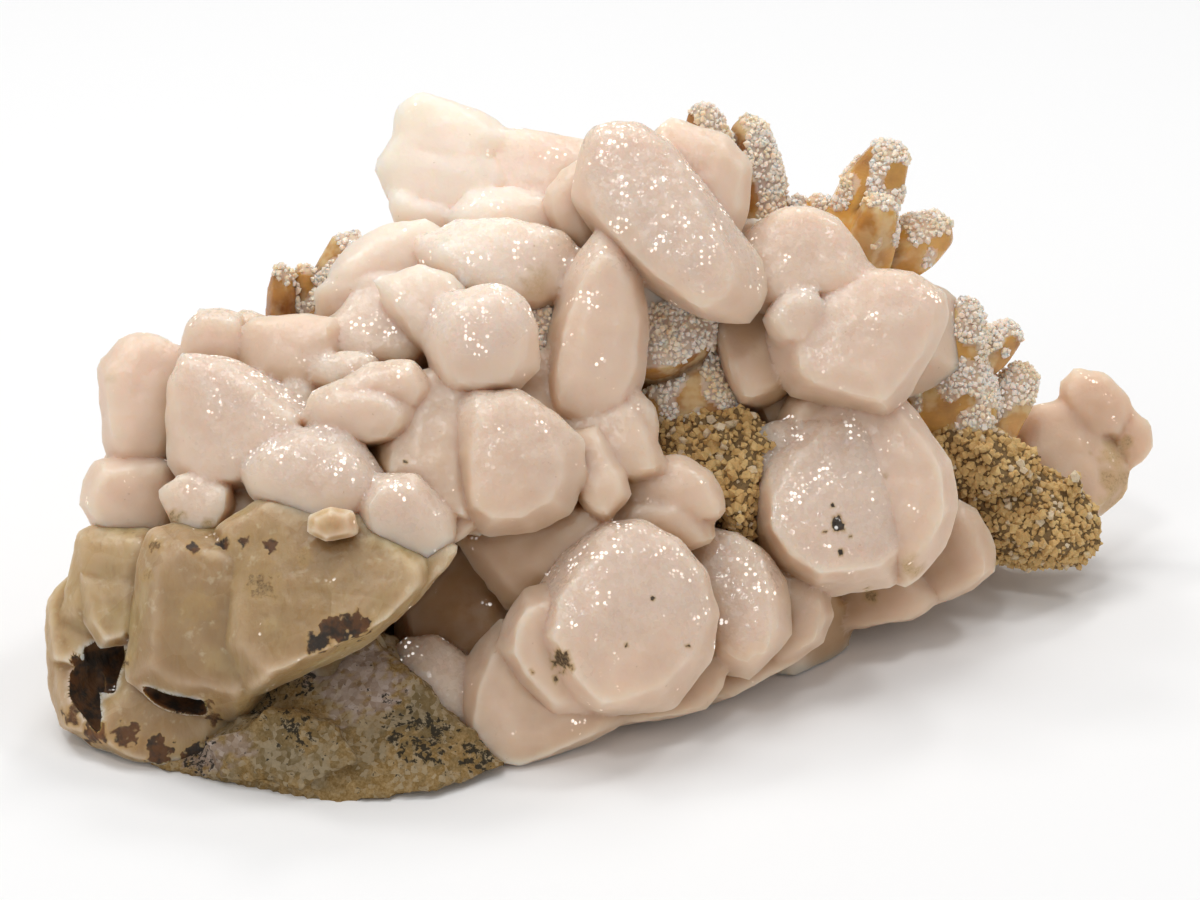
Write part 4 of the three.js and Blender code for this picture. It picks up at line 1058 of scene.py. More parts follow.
def calcite_finish(name, pale, warm, look, cleaved):
    """Milky calcite that light sinks into, with glittering frost on top and painted white glints
    that glow, painted shade in hollows and a painted glow on edges; the cleaved kind rusts.
    """
    finish, tree = new_finish(name)
    warmth_and_shade, frost, stain, cream_and_edge_glow = read_mark_sockets(tree)
    cloud = tree.noise(12 * MM, detail=3)
    veil = tree.noise(2.4 * MM, detail=3, roughness=0.6)
    # The warm mark holds each crystal's own tone and the painted shade in hollows and toward the
    # foot.
    share = (warmth_and_shade + (cloud - 0.5) * 0.5 + (veil - 0.5) * 0.16).held()
    colour = tree.mix(share, pale, warm)
    if cleaved:
        streak = tree.noise(1.5 * MM, detail=3, stretch=(1, 1, 0.12))
        patch = tree.noise(7 * MM, detail=4, roughness=0.65, distortion=0.6)
        colour = tree.mix(tree.ramp(cloud, 0.48, 0.62) * 0.5, colour, CLEAVED_OLIVE)
        rusty = (tree.ramp(patch, 0.55, 0.72) * 0.6 + tree.ramp(streak, 0.54, 0.72) * 0.4).held()
        colour = tree.mix(rusty, colour, CLEAVED_RUST)
        colour = tree.mix(tree.ramp(veil, 0.60, 0.75) * 0.4, colour, CLEAVED_PALE)
        shade = tree.channel(tree.cells(7 * MM), "Green")
        colour = tree.mix(shade * 0.18, colour, CLEAVED_TAN)
    else:
        grey = tree.ramp(tree.noise(20 * MM, detail=1), 0.42, 0.62)
        cooler = tree.mix(1.0, colour, COOL_TINT, "MULTIPLY")
        colour = tree.mix(grey * 0.3, colour, cooler)
        colour = tree.mix((frost * 0.6 + (veil - 0.5) * 0.3).held(), colour, FROST_MAUVE)
    # Cream: a painted glow along outward edges, and paler calcite at the top left.
    colour = tree.mix(cream_and_edge_glow.held(), colour, CREAM_AND_EDGE_GLOW)
    speck = tree.ramp(tree.noise(0.9 * MM, detail=2), 0.72, 0.80)
    colour = tree.mix((speck * 0.4).held(), colour, SPECK_BROWN)
    brown = RUST_BROWN if cleaved else STAIN_BROWN
    dark = tree.mix(tree.ramp(veil, 0.4, 0.65), brown, STAIN_BLACK)
    ragged = tree.noise(0.5 * MM, detail=3, roughness=0.7) - 0.5
    stain = stain + ragged * stain.least(0.4) * 1.6
    colour = tree.mix((stain * 1.3).held(), colour, STAIN_TAN)
    colour = tree.mix(tree.ramp(stain, 0.45, 0.85), colour, dark)
    sparkle = facets(tree, look.frost_grain, frost * 0.3 + 0.04)
    chance = tree.channel(tree.cells(look.frost_grain), "Blue")
    glossy = tree.ramp(chance, 0.3, 0.7) * (frost * 0.36 + 0.06)
    # Painted highlights: white glowing glints on some small cells, in patches that frost makes more
    # likely.
    glint_patches = tree.ramp(tree.noise(4.5 * MM, detail=3) + frost * 0.16, 0.66, 0.74)
    drawn = tree.channel(tree.cells(GLINT_SIZE), "Red")
    near = tree.ramp(tree.cells(GLINT_SIZE, "Distance"), 0.62, 0.30)
    painted_glints = tree.ramp(drawn, 0.66, 0.74) * near * glint_patches
    height = tree.noise(2.2 * MM, detail=3, roughness=0.6) * (0.15 + frost * 0.35)
    if cleaved:
        height += streak * 0.6
    bump = tree.bump(height, 0.65 * MM, 1.0, Normal=sparkle)
    set_surface(
        tree,
        {
            "Base Color": colour,
            "Roughness": (0.5 - glossy + stain * 0.3 + (veil - 0.5) * 0.1).held(),
            "Normal": bump,
            "IOR": 1.56,
            "Specular IOR Level": 0.5,
            "Subsurface Weight": 1.0,
            "Subsurface Radius": (1.0, 0.72, 0.52),
            "Subsurface Scale": 7 * MM,
            "Emission Color": tree.mix(painted_glints, (0, 0, 0), PAINTED_GLINT_WHITE),
            "Emission Strength": 0.8,
        },
    )
    return finish


QUARTZ_DARK = (0.33, 0.13, 0.04)
QUARTZ_LIGHT = (0.93, 0.74, 0.42)
QUARTZ_CREASE_SHADE = (0.16, 0.07, 0.025)
DRUSE_TAN = (0.90, 0.66, 0.38)


def quartz_finish(look):
    """Golden to brown quartz, partly clear, with pale dust where the druse is thick and painted
    shade in its inward folds.
    """
    finish, tree = new_finish("golden_quartz")
    brown, coat, _, crease_shade = read_mark_sockets(tree)
    cloud = tree.noise(6 * MM, detail=4, roughness=0.6)
    lines = tree.noise(0.7 * MM, detail=2, stretch=(0.25, 0.25, 2.5))
    share = (brown * 0.9 + (cloud - 0.5) * 2.0).held()
    colour = tree.mix(share, look.golden, QUARTZ_DARK)
    light = tree.ramp(tree.noise(4 * MM, detail=3), 0.48, 0.64)
    colour = tree.mix(light * 0.55, colour, QUARTZ_LIGHT)
    colour = tree.mix(coat * 0.5, colour, look.druse)
    # Painted shade: darker in the inward folds.
    colour = tree.mix((crease_shade * 0.7).held(), colour, QUARTZ_CREASE_SHADE)
    bump = tree.bump(lines, 0.08 * MM, 0.5)
    set_surface(
        tree,
        {
            "Base Color": colour,
            "Roughness": (0.22 + coat * 0.3 + (cloud - 0.5) * 0.25).held(),
            "Normal": bump,
            "IOR": 1.545,
            "Transmission Weight": 0.12,
            "Subsurface Weight": 0.5,
            "Subsurface Radius": (1.0, 0.5, 0.22),
            "Subsurface Scale": 3 * MM,
        },
    )
    return finish


def druse_finish(look):
    """Sugary, pinkish small crystals."""
    finish, tree = new_finish("druse")
    tint = tree.node("ShaderNodeAttribute", {"attribute_name": "tint"}, output="Fac")
    cloud = tree.noise(5 * MM, detail=3)
    share = (tint * 0.4 + (cloud - 0.5) * 2.4).held()
    colour = tree.mix(share, look.druse, DRUSE_TAN)
    bump = tree.bump(tree.noise(0.3 * MM), 0.05 * MM, 0.5)
    set_surface(
        tree,
        {
            "Base Color": colour,
            "Roughness": (0.16 + tint * 0.2).held(),
            "Normal": bump,
            "IOR": 1.545,
            "Subsurface Weight": 1.0,
            "Subsurface Radius": (1.0, 0.75, 0.6),
            "Subsurface Scale": 0.5 * MM,
        },
    )
    return finish


CRUST_LIGHT = (0.76, 0.54, 0.24)
CRUST_DUST = (0.70, 0.60, 0.46)
CRUST_DARK_AND_SHADE = (0.055, 0.028, 0.008)


def crust_finish(look, name, bright):
    """Ochre iron crust: lighter on its grains; the surface under them is painted dark as the shade
    between the grains.
    """
    finish, tree = new_finish(name)
    tint = tree.node("ShaderNodeAttribute", {"attribute_name": "tint"}, output="Fac")
    cloud = tree.noise(4 * MM, detail=4, roughness=0.6)
    dust = tree.noise(0.6 * MM, detail=3, roughness=0.7)
    share = (tint * 0.5 + (cloud - 0.4) * 1.6).held()
    colour = tree.mix(share, look.ochre, CRUST_LIGHT)
    colour = tree.mix(tree.ramp(tint + cloud * 0.6, 1.16, 1.24) * 0.7, colour, CRUST_DUST)
    # Dark specks of dust, which are stronger on the surface under the grains.
    colour = tree.mix(tree.ramp(dust, 0.5, 0.66) * (0.22 if bright else 0.6), colour, CRUST_DARK_AND_SHADE)
    # Painted shade: the surface under the grains is darkened.
    if not bright:
        colour = tree.mix(0.72, colour, CRUST_DARK_AND_SHADE)
    bump = tree.bump(dust, 0.2 * MM, 0.8)
    set_surface(
        tree,
        {
            "Base Color": colour,
            "Roughness": (0.62 + dust * 0.3).held(),
            "Normal": bump,
            "Subsurface Weight": 0.15,
            "Subsurface Radius": (1.0, 0.5, 0.2),
            "Subsurface Scale": 0.8 * MM,
        },
    )
    return finish


ROCK_OCHRE = (0.40, 0.275, 0.13)
ROCK_GREEN = (0.13, 0.098, 0.048)
ROCK_GREY = (0.40, 0.32, 0.21)
ROCK_LILAC = ((0.26, 0.18, 0.13), (0.46, 0.37, 0.32))
ROCK_BLACK = (0.018, 0.015, 0.010)


def rock_finish(look):
    """Granular wall rock: tan and grey-green, with black specks and one lilac-grey patch."""
    finish, tree = new_finish("wall_rock")
    green, lilac, black, _ = read_mark_sockets(tree)
    cloud = tree.noise(9 * MM, detail=5, roughness=0.65)
    grit = tree.noise(1.1 * MM, detail=4, roughness=0.7)
    lightness = tree.channel(tree.cells(0.8 * MM), "Green")
    fine = tree.noise(0.45 * MM, detail=3, roughness=0.7)
    share = (lightness * 0.45 + tree.ramp(fine, 0.35, 0.68) * 0.6).held()
    colour = tree.mix(share, look.tan, ROCK_OCHRE)
    colour = tree.mix(tree.ramp(cloud + green * 0.25, 0.5, 0.85) * 0.8, colour, ROCK_GREEN)
    grey = tree.ramp(cloud - 0.2 + lightness * 0.3, 0.42, 0.6)
    colour = tree.mix(grey * 0.6, colour, ROCK_GREY)
    share = (lilac * (0.7 + grit * 0.5)).held()
    colour = tree.mix(share, colour, tree.mix(lightness, *ROCK_LILAC))
    specks = grit + (lightness - 0.5) * 0.2 + (fine - 0.5) * 0.5 + black * 0.22
    colour = tree.mix(tree.ramp(specks, 0.66, 0.76) * 0.92, colour, ROCK_BLACK)
    bump = tree.bump(grit + lightness * 0.4, 0.35 * MM, 0.8)
    set_surface(
        tree,
        {
            "Base Color": colour,
            "Roughness": (0.58 + grit * 0.4 - lilac * 0.15).held(),
            "Normal": bump,
            "Specular IOR Level": 0.15,
        },
    )
    return finish


def plain_finish(name, colour, roughness):
    finish, tree = new_finish(name)
    set_surface(tree, {"Base Color": rgba(colour), "Roughness": roughness})
    return finish


# Small grains scattered over a surface


GRAINS_PER_SQUARE_METRE = 4e6
FORM_COUNT, FORM_CORNERS, FORM_ROUGHNESS = 4, 9, 0.5
FORM_RADII = (0.55, 0.5, 0.45)


def grains_tree():
    """Nodes that grow small grains on a surface, where its attribute called coat asks for them."""
    group = bpy.data.node_groups.new("grains", "GeometryNodeTree")
    sockets = group.interface
    sockets.new_socket("Surface", in_out="INPUT", socket_type="NodeSocketGeometry")
    for name, kind in (
        ("Spacing", "Float"),
        ("Least size", "Float"),
        ("Largest size", "Float"),
        ("Seed", "Int"),
        ("Forms", "Collection"),
        ("Finish", "Material"),
    ):
        sockets.new_socket(name, in_out="INPUT", socket_type="NodeSocket" + kind)
    sockets.new_socket("Grains", in_out="OUTPUT", socket_type="NodeSocketGeometry")
    tree = Tree(group)
    given = tree.node("NodeGroupInput")
    seed = given.of("Seed")
    coat = tree.node("GeometryNodeInputNamedAttribute", {"data_type": "FLOAT"}, {"Name": "coat"})
    points = tree.node(
        "GeometryNodeDistributePointsOnFaces",
        {"distribute_method": "POISSON"},
        {
            "Mesh": given.of("Surface"),
            "Distance Min": given.of("Spacing"),
            "Density Max": GRAINS_PER_SQUARE_METRE,
            "Density Factor": coat,
            "Seed": seed,
        },
    )
    turn = tree.node(
        "FunctionNodeRandomValue",
        {"data_type": "FLOAT_VECTOR"},
        {0: (0, 0, 0), 1: (math.tau,) * 3, "Seed": seed + 1},
    )

    def drawn(least, most, shift):
        """A number drawn for each grain."""
        values = {2: least, 3: most, "Seed": seed + shift}
        return tree.node("FunctionNodeRandomValue", {"data_type": "FLOAT"}, values, output=1)

    size = drawn(given.of("Least size"), given.of("Largest size"), 2)
    tint = drawn(0.0, 1.0, 3)
    forms = tree.node(
        "GeometryNodeCollectionInfo",
        {},
        {"Collection": given.of("Forms"), "Separate Children": True, "Reset Children": True},
    )
    placed = tree.node(
        "GeometryNodeInstanceOnPoints",
        {},
        {
            "Points": points,
            "Instance": forms,
            "Pick Instance": True,
            "Rotation": tree.node("FunctionNodeEulerToRotation", {}, {0: turn}),
            "Scale": size,
        },
    )
    tinted = tree.node(
        "GeometryNodeStoreNamedAttribute",
        {"data_type": "FLOAT", "domain": "INSTANCE"},
        {"Geometry": placed, "Name": "tint", "Value": tint},
    )
    real = tree.node("GeometryNodeRealizeInstances", {}, {0: tinted})
    values = {"Geometry": real, "Material": given.of("Finish")}
    done = tree.node("GeometryNodeSetMaterial", {}, values)
    tree.node("NodeGroupOutput", {}, {0: done})
    return group


def grain_forms(name, seed):
    """A few small many-sided grains, about 1 across, to scatter."""
    collection = bpy.data.collections.new(name)
    bpy.context.scene.collection.children.link(collection)
    for i in range(FORM_COUNT):
        points = lump_points((0, 0, 0), FORM_RADII, seed + i, FORM_CORNERS, FORM_ROUGHNESS)
        bm = bmesh.new()
        for point in points:
            bm.verts.new(point)
        bmesh.ops.convex_hull(bm, input=bm.verts)
        mesh = bpy.data.meshes.new(name)
        bm.to_mesh(mesh)
        bm.free()
        new_object(mesh, collection)
    return collection


def scattered(name, surface, coat, spacing, sizes, seed, forms, finish):
    """A mesh of grains that grow on a surface where coat, one value for each point, is high."""
    tree = bpy.data.node_groups.get("grains") or grains_tree()
    layer = surface.attributes.get("coat") or surface.attributes.new("coat", "FLOAT", "POINT")
    layer.data.foreach_set("value", coat.astype(np.float32))
    carrier = new_object(surface)
    grow = carrier.modifiers.new("grow", "NODES")
    grow.node_group = tree
    values = {
        "Spacing": spacing,
        "Least size": sizes[0],
        "Largest size": sizes[1],
        "Seed": seed,
        "Forms": forms,
        "Finish": finish,
    }
    for item in tree.interface.items_tree:
        if item.in_out == "INPUT" and item.name in values:
            grow[item.identifier] = values[item.name]
    mesh = evaluated(carrier)
    bpy.data.objects.remove(carrier)
    mesh.name = name
    surface.attributes.remove(surface.attributes["coat"])
    return mesh


def drop_forms(collection):
    for form in list(collection.objects):
        bpy.data.objects.remove(form)
    bpy.data.collections.remove(collection)


# The pieces


EDGE = 0.95 * MM
FINE_EDGE = 0.5 * MM
MARKED_EDGE = 0.45 * MM
PIT_EDGE = 0.4 * MM
BODY_EDGE, BACK_EDGE = 1.4 * EDGE, 1.3 * EDGE
EDGE_SHARE = 1.1  # of an icosphere's radius, before it is divided
LEAST_FINENESS = 3
FLOOR_CLEARANCE = 0.5 * MM
BLOCK_WIDTH, BLOCK_HEIGHT = 0.5, 0.1
LONGER_THAN_WIDE = 1.25
STRONG_MARK = 0.7


def fineness(radius, edge=EDGE):
    """How often a sphere of this radius is divided, for edges of about this length."""
    wanted = edge
    return max(LEAST_FINENESS, 1 + round(math.log2(EDGE_SHARE * radius / wanted)))


def put(name, mesh, finish, nodes=()):
    """Puts a finished piece in the scene, on its body and its solids."""
    old = bpy.data.objects.get(name)
    if old:
        bpy.data.objects.remove(old)
    mesh.materials.clear()
    mesh.materials.append(finish)
    piece = bpy.data.objects.new(name, mesh)
    bpy.context.scene.collection.objects.link(piece)
    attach(piece, "root")
    if nodes:
        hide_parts(*nodes)
    return piece


def over_floor(name, mesh):
    """Cuts off what would reach down to the floor."""
    bm = bmesh.new()
    bmesh.ops.create_cube(bm, size=1)
    at = Matrix.Translation((0, 0, FLOOR_CLEARANCE - BLOCK_HEIGHT / 2))
    size = Matrix.Diagonal((BLOCK_WIDTH, BLOCK_WIDTH, BLOCK_HEIGHT, 1))
    bmesh.ops.transform(bm, matrix=at @ size, verts=bm.verts)
    bmesh.ops.triangulate(bm, faces=bm.faces)
    below = bpy.data.meshes.new(name)
    bm.to_mesh(below)
    bm.free()
    return combined(name, [mesh, below], "DIFFERENCE")


def rounded_crystals(name, crystals, softness, first=0, tail=TAIL_LENGTH, edge=EDGE):
    """Meshes of the drawn crystals; those with a strong mark are finer."""
    meshes = []
    for i, one in enumerate(crystals):
        marks = (one["warm"], one["frost"], 0, 0)
        points = crystal_points(one, first + i, tail) + foot_corners(one, crystals)
        radius = mean_radius(one["outline"])
        middle = middle_of(one["outline"])
        strong = [spot[:2] for spot in STAINS if spot[3] > STRONG_MARK]
        marked = any(math.dist(middle, spot) < radius for spot in strong)
        wanted = min(edge, MARKED_EDGE) if marked else edge
        level = fineness(radius * STEP * LONGER_THAN_WIDE, wanted)
        meshes.append(rounded(name, points, softness, level, marks))
    return meshes


def body_lumps(softness):
    """The inner lumps of the cluster that fill the gaps between the drawn crystals."""
    meshes = []
    for i, (at, radius) in enumerate(BODY):
        radii = (radius * MM,) * 3
        points = lump_points(place(*at), radii, BODY_SEED + i, LUMP_CORNERS, BODY_ROUGHNESS)
        level = fineness(radius * MM, BODY_EDGE)
        meshes.append(rounded("body", points, softness, level, BODY_SHADE_MARKS))
    return meshes


def back_crystals(softness):
    """Rows of crystals down the back of the specimen."""
    meshes = []
    for row in range(BACK_ROWS):
        for column in range(BACK_COLUMNS):
            seed = BACK_SEED + row * BACK_COLUMNS + column
            chance = make_random(seed)
            x = BACK_LEFT + (column + 0.5 * (row % 2)) * BACK_PITCH
            x += BACK_SHAKE * (next(chance) - 0.5)
            slope = (row + 0.5) / (BACK_ROWS + BACK_PAST_LAST) * math.pi / 2
            radius = BACK_RADIUS + BACK_RADIUS_MORE * next(chance)
            depth = BACK_FOOT + BACK_SLANT * x + BACK_DEPTH * math.sin(slope)
            depth += BACK_DEPTH_SHAKE * (next(chance) - 0.5)
            top = BACK_TOP - BACK_FALL * (x - BACK_CREST) ** 2
            height = max(radius * 0.7, top * math.cos(slope) - radius * 0.5)
            wide, tall = 0.9 + 0.4 * next(chance), 0.8 + 0.4 * next(chance)
            radii = [radius * share * MM for share in (wide, 1, tall)]
            centre = (x * MM, depth * MM, height * MM)
            points = lump_points(centre, radii, seed, LUMP_CORNERS, BACK_ROUGHNESS)
            marks = (0.2 + 0.5 * next(chance), 0.5 * next(chance), 0, 0)
            level = fineness(radius * MM, BACK_EDGE)
            meshes.append(rounded("back", points, softness, level, marks))
    return meshes


SWELL, STAINED_SWELL = 0.5 * MM, 0.25 * MM
STAINED_ROUGHER = 1.3
FOLD_ROUNDS, SOFTEN_ROUNDS = 2, 3
CALCITE_SHARP, QUARTZ_SHARP, ROCK_SHARP = 34, 26, 40  # degrees
# Height and length over which the warm mark rises, as painted shade toward the foot, and toward the
# right.
LOW_HEIGHT, LOW_LENGTH = 80 * MM, 500 * MM
HIGH_FROM, HIGH_OVER, LEFT_FROM, LEFT_OVER = 55 * MM, 15 * MM, -8 * MM, 12 * MM


def weather(mesh, relief, stains, swell=SWELL):
    """Gives calcite its growth relief, and its marks: painted shade as warmth in hollows and toward
    the foot, frost on top, stains, and cream as a painted glow on edges and at the top left."""
    fold = creases(mesh, FOLD_ROUNDS)
    soften_folds(mesh, fold, SOFTEN_ROUNDS)
    points, normals, marks = read_points(mesh), read_normals(mesh), read_marks(mesh)
    raised = swell * waves(points, 9 * MM) + relief * waves(points, 3 * MM, 5.0)
    raised += 0.4 * relief * waves(points, 1.3 * MM, 11.0)
    recess_shade = recess(mesh, points, normals)
    # Outward edges, where a painted glow is put.
    painted_edge_glow = np.clip(bulge(mesh, points, normals), 0, 1)
    write_points(mesh, points + normals * raised[:, None])
    # Painted shade: the warm mark grows in hollows and toward the foot; it also grows toward the
    # right.
    low = 0.5 - points[:, 2] / LOW_HEIGHT + points[:, 0] / LOW_LENGTH
    marks[:, 0] = np.clip(marks[:, 0] * 0.7 + recess_shade - 0.1 + low * 0.5, 0, 1)
    upward = np.clip((normals[:, 2] - 0.2) * 2.2 + 0.5 * waves(points, 6 * MM, 2.0), 0, 1)
    marks[:, 1] *= upward
    marks[:, 2] = np.maximum(marks[:, 2], spots(points, normals, stains))
    high = np.clip((points[:, 2] - HIGH_FROM) / HIGH_OVER, 0, 1)
    high *= np.clip((LEFT_FROM - points[:, 0]) / LEFT_OVER, 0, 1)
    # Cream: a painted glow on outward edges, and paler calcite high at the top left.
    marks[:, 3] = np.maximum(high * 0.85, painted_edge_glow * 0.55) * (1 - marks[:, 2])
    write_marks(mesh, marks)
    sharpen(mesh, CALCITE_SHARP)


def milky_finish(look):
    made = bpy.data.materials.get("milky_calcite")
    return made or calcite_finish("milky_calcite", look.pale, look.warm, look, cleaved=False)


def make_calcite_cluster(look):
    finish = milky_finish(look)
    front = rounded_crystals("cluster", CLUSTER, look.softness) + body_lumps(look.softness)
    sides = (("front", front, STAINS), ("back", back_crystals(look.softness), []))
    for side, meshes, stains in sides:
        name = "calcite_cluster_" + side
        mesh = over_floor(name, combined(side, meshes))
        weather(mesh, look.relief, stains)
        put(name, mesh, finish, ("calcite_cluster",))


RIGHT_PAIR_SEED = 240
STAINED_SEED = 100
PITS_SEED = 260
PIT_MARKS = (1.0, 0, 1.0, 0)


def make_calcite_pair(look):
    finish = milky_finish(look)
    mesh = combined("pair", rounded_crystals("pair", RIGHT_PAIR, look.softness, RIGHT_PAIR_SEED))
    weather(mesh, look.relief, PAIR_STAINS)
    put("calcite_pair", mesh, finish, ("calcite_pair_right",))


def make_stained_block(look):
    finish = calcite_finish("stained_calcite", look.yellow, STAINED_OCHRE, look, cleaved=True)
    softness = look.stained_softness
    solids = rounded_crystals("block", STAINED, softness, STAINED_SEED, edge=FINE_EDGE)
    solid = combined("block", solids)
    pits = rounded_crystals("pit", PITS, softness, PITS_SEED, PIT_DEPTH, PIT_EDGE)
    for pit in pits:
        write_marks(pit, np.tile(PIT_MARKS, (len(pit.vertices), 1)))
    mesh = over_floor("stained_calcite_block", combined("block", [solid, *pits], "DIFFERENCE"))
    weather(mesh, look.relief * STAINED_ROUGHER, RUST, STAINED_SWELL)
    put("stained_block", mesh, finish, ("stained_calcite_block",))


QUARTZ_SEED = 500
QUARTZ_SEED_STEP = 20
QUARTZ_SOFTNESS = 30
QUARTZ_FINENESS = 5
QUARTZ_BROWN = (0.7, 0.15, 0.3, 0.7, 0.85, 0.6)  # one for each group
DRUSE_SEED, CRUST_SEED = 30, 60
COATED = 0.28
# Spacing, least size and largest size of the grains, as shares of the set size.
DRUSE_SHARES = (0.62, 0.7, 1.5)
CRUST_SHARES = (0.5, 0.35, 1.2)


def quartz_solid(name, group, seed):
    """The quartz points and drawn crystals of a group as one closed mesh."""
    points, crystals = group
    meshes = []
    for foot, tip, radius, twist in points:
        corners = prism_points(place(*foot), place(*tip), radius * MM, twist)
        meshes.append(rounded(name, corners, QUARTZ_SOFTNESS, QUARTZ_FINENESS, (0, 0, 0, 0)))
    meshes += rounded_crystals(name, crystals, QUARTZ_SOFTNESS, seed, edge=FINE_EDGE)
    return combined(name, meshes)


def make_quartz_points(look, seed):
    finish, sugar = quartz_finish(look), druse_finish(look)
    forms = grain_forms("druse_forms", DRUSE_SEED)
    spacing, *sizes = (look.druse_grain * share for share in DRUSE_SHARES)
    for i, (name, group) in enumerate(QUARTZ.items()):
        mesh = over_floor(name, quartz_solid(name, group, QUARTZ_SEED + QUARTZ_SEED_STEP * i))
        dense = fine_copy(mesh, (0.5) * MM)
        points, normals = read_points(dense), read_normals(dense)
        upward = normals[:, 2] * 0.8 + normals[:, 0] * 0.25 + 0.55 * waves(points, 5 * MM, i)
        coat = (upward > COATED).astype(float)
        druse = scattered(name + "_druse", dense, coat, spacing, sizes, seed + i, forms, sugar)
        marks = np.zeros((len(points), 4))
        marks[:, 0] = np.clip(QUARTZ_BROWN[i] + 0.5 * waves(points, 7 * MM, 4.0 + i), 0, 1)
        marks[:, 1] = coat
        # Painted shade in the inward folds between the points.
        marks[:, 3] = creases(dense)
        write_marks(dense, marks)
        sharpen(dense, QUARTZ_SHARP)
        piece = name.replace("points", "group").replace("point", "group")
        put(piece, dense, finish, (name,))
        if len(druse.vertices):
            put(piece + "_druse", druse, sugar)
    drop_forms(forms)


def make_iron_crust(look, seed):
    base = crust_finish(look, "crust_gaps", bright=False)
    grain = crust_finish(look, "crust_grains", bright=True)
    forms = grain_forms("crust_forms", CRUST_SEED)
    spacing, *sizes = (look.grain * share for share in CRUST_SHARES)
    for i, node in enumerate(("iron_crust_right", "iron_crust_middle")):
        mesh = cad_copy(node, look.voxel * (1))
        points, normals = read_points(mesh), read_normals(mesh)
        rough = -0.5 * ridges(points, 2.4 * MM) + 0.25 * waves(points, 1.0 * MM)
        write_points(mesh, points + normals * (rough * MM)[:, None])
        coat = np.ones(len(points))
        name = node + "_grains"
        grains = scattered(name, mesh, coat, spacing, sizes, seed + 10 + i, forms, grain)
        mesh.shade_smooth()
        piece = node.replace("iron_", "")
        put(piece, mesh, base, (node,))
        put(piece + "_grains", grains, grain)
    drop_forms(forms)


# Patches of the rock: (across, down, radius in steps, strength).
GREEN_ROCK = [(27, 74, 6, 0.8), (34, 77, 5, 0.6), (44, 72, 5, 0.8), (22, 74, 3, 0.9)]
LILAC_ROCK = [
    (33, 66.2, 2.6, 1.0), (36.2, 66.4, 2.4, 1.0), (37.6, 68.6, 2.2, 1.0), (35, 69, 2.2, 0.9),
    (20.5, 75.4, 1.6, 0.9), (23.4, 74.6, 1.4, 0.7),
]
BLACK_ROCK = [
    (30, 67.8, 1.6, 1.0), (29.6, 72.4, 1.8, 0.8), (42.4, 73.8, 2.6, 1.0), (47.4, 75.8, 1.6, 0.9),
    (19.6, 75.6, 1.5, 1.0), (26, 70.4, 1.8, 0.6), (39.6, 71, 1.6, 0.7),
]


NEARLY_FLAT = 0.02
RESTING_BELOW = 0.4 * MM


def make_wall_rock(look):
    mesh = cad_copy("wall_rock", look.voxel * (1))
    points, normals = read_points(mesh), read_normals(mesh)
    rough = 0.9 * waves(points, 7 * MM) - 0.7 * ridges(points, 3.4 * MM)
    rough += 0.3 * waves(points, 1.4 * MM)
    moved = points + normals * (rough * look.relief)[:, None]
    resting = points[:, 2] < RESTING_BELOW
    moved[:, 2] = np.maximum(moved[:, 2], points[:, 2] * NEARLY_FLAT)
    moved[resting] = points[resting] * (1, 1, NEARLY_FLAT)
    marks = np.zeros((len(points), 4))
    for i, patch in enumerate((GREEN_ROCK, LILAC_ROCK, BLACK_ROCK)):
        marks[:, i] = spots(points, normals, patch, 0.5)
    write_points(mesh, moved)
    write_marks(mesh, marks)
    sharpen(mesh, ROCK_SHARP)
    put("rock", mesh, rock_finish(look), ("wall_rock",))


# The stage

SENSOR = 36
FRAME_WIDTH = SHEET_WIDTH * STEP
FLOOR_SIZE = 6.0
WALL_AWAY = 2.2
WALL_CURVE = 0.8
WALL_STEPS = 12
WORLD_LIGHT = 0.42
AIM = Vector((0, 0, 30 * MM))
# Name, place and size in metres, and share of the key power.
LIGHTS = (
    ("overhead", (-0.2, 0.1, 1.0), 0.6, 0.75),
    ("front_left", (-0.7, -1.0, 0.8), 0.7, 0.38),
    ("front_right", (0.9, -0.8, 0.5), 0.7, 0.12),
    ("glint_back", (0.15, 0.62, 0.85), 0.18, 0.34),
    ("glint_left", (-0.5, 0.35, 0.85), 0.18, 0.34),
    ("glint_right", (0.45, 0.2, 0.9), 0.18, 0.34),
    ("glint_front", (-0.15, -0.5, 0.95), 0.18, 0.34),
)


def area_light(name, at, size, power):
    light = bpy.data.lights.new(name, "AREA")
    light.shape = "DISK"
    light.size, light.energy = size, power
    lamp = bpy.data.objects.new(name, light)
    lamp.location = at
    lamp.rotation_euler = (AIM - Vector(at)).to_track_quat("-Z", "Y").to_euler()
    bpy.context.scene.collection.objects.link(lamp)


def make_floor(colour):
    """A pale floor that curves up into a plain wall."""
    bm = bmesh.new()
    profile = [(-FLOOR_SIZE / 2, 0), (WALL_AWAY, 0)]
    for i in range(1, WALL_STEPS + 1):
        angle = i / WALL_STEPS * math.pi / 2
        away, up = WALL_CURVE * math.sin(angle), WALL_CURVE * (1 - math.cos(angle))
        profile.append((WALL_AWAY + away, up))
    profile.append((WALL_AWAY + WALL_CURVE, FLOOR_SIZE))
    rows = [[bm.verts.new((x, y, z)) for x in (-FLOOR_SIZE, FLOOR_SIZE)] for y, z in profile]
    for (a, b), (c, d) in zip(rows, rows[1:]):
        bm.faces.new((a, b, d, c))
    mesh = bpy.data.meshes.new("floor")
    bm.to_mesh(mesh)
    bm.free()
    mesh.shade_smooth()
    mesh.materials.append(plain_finish("pale_floor", colour, 0.9))
    floor = bpy.data.objects.new("floor", mesh)
    bpy.context.scene.collection.objects.link(floor)


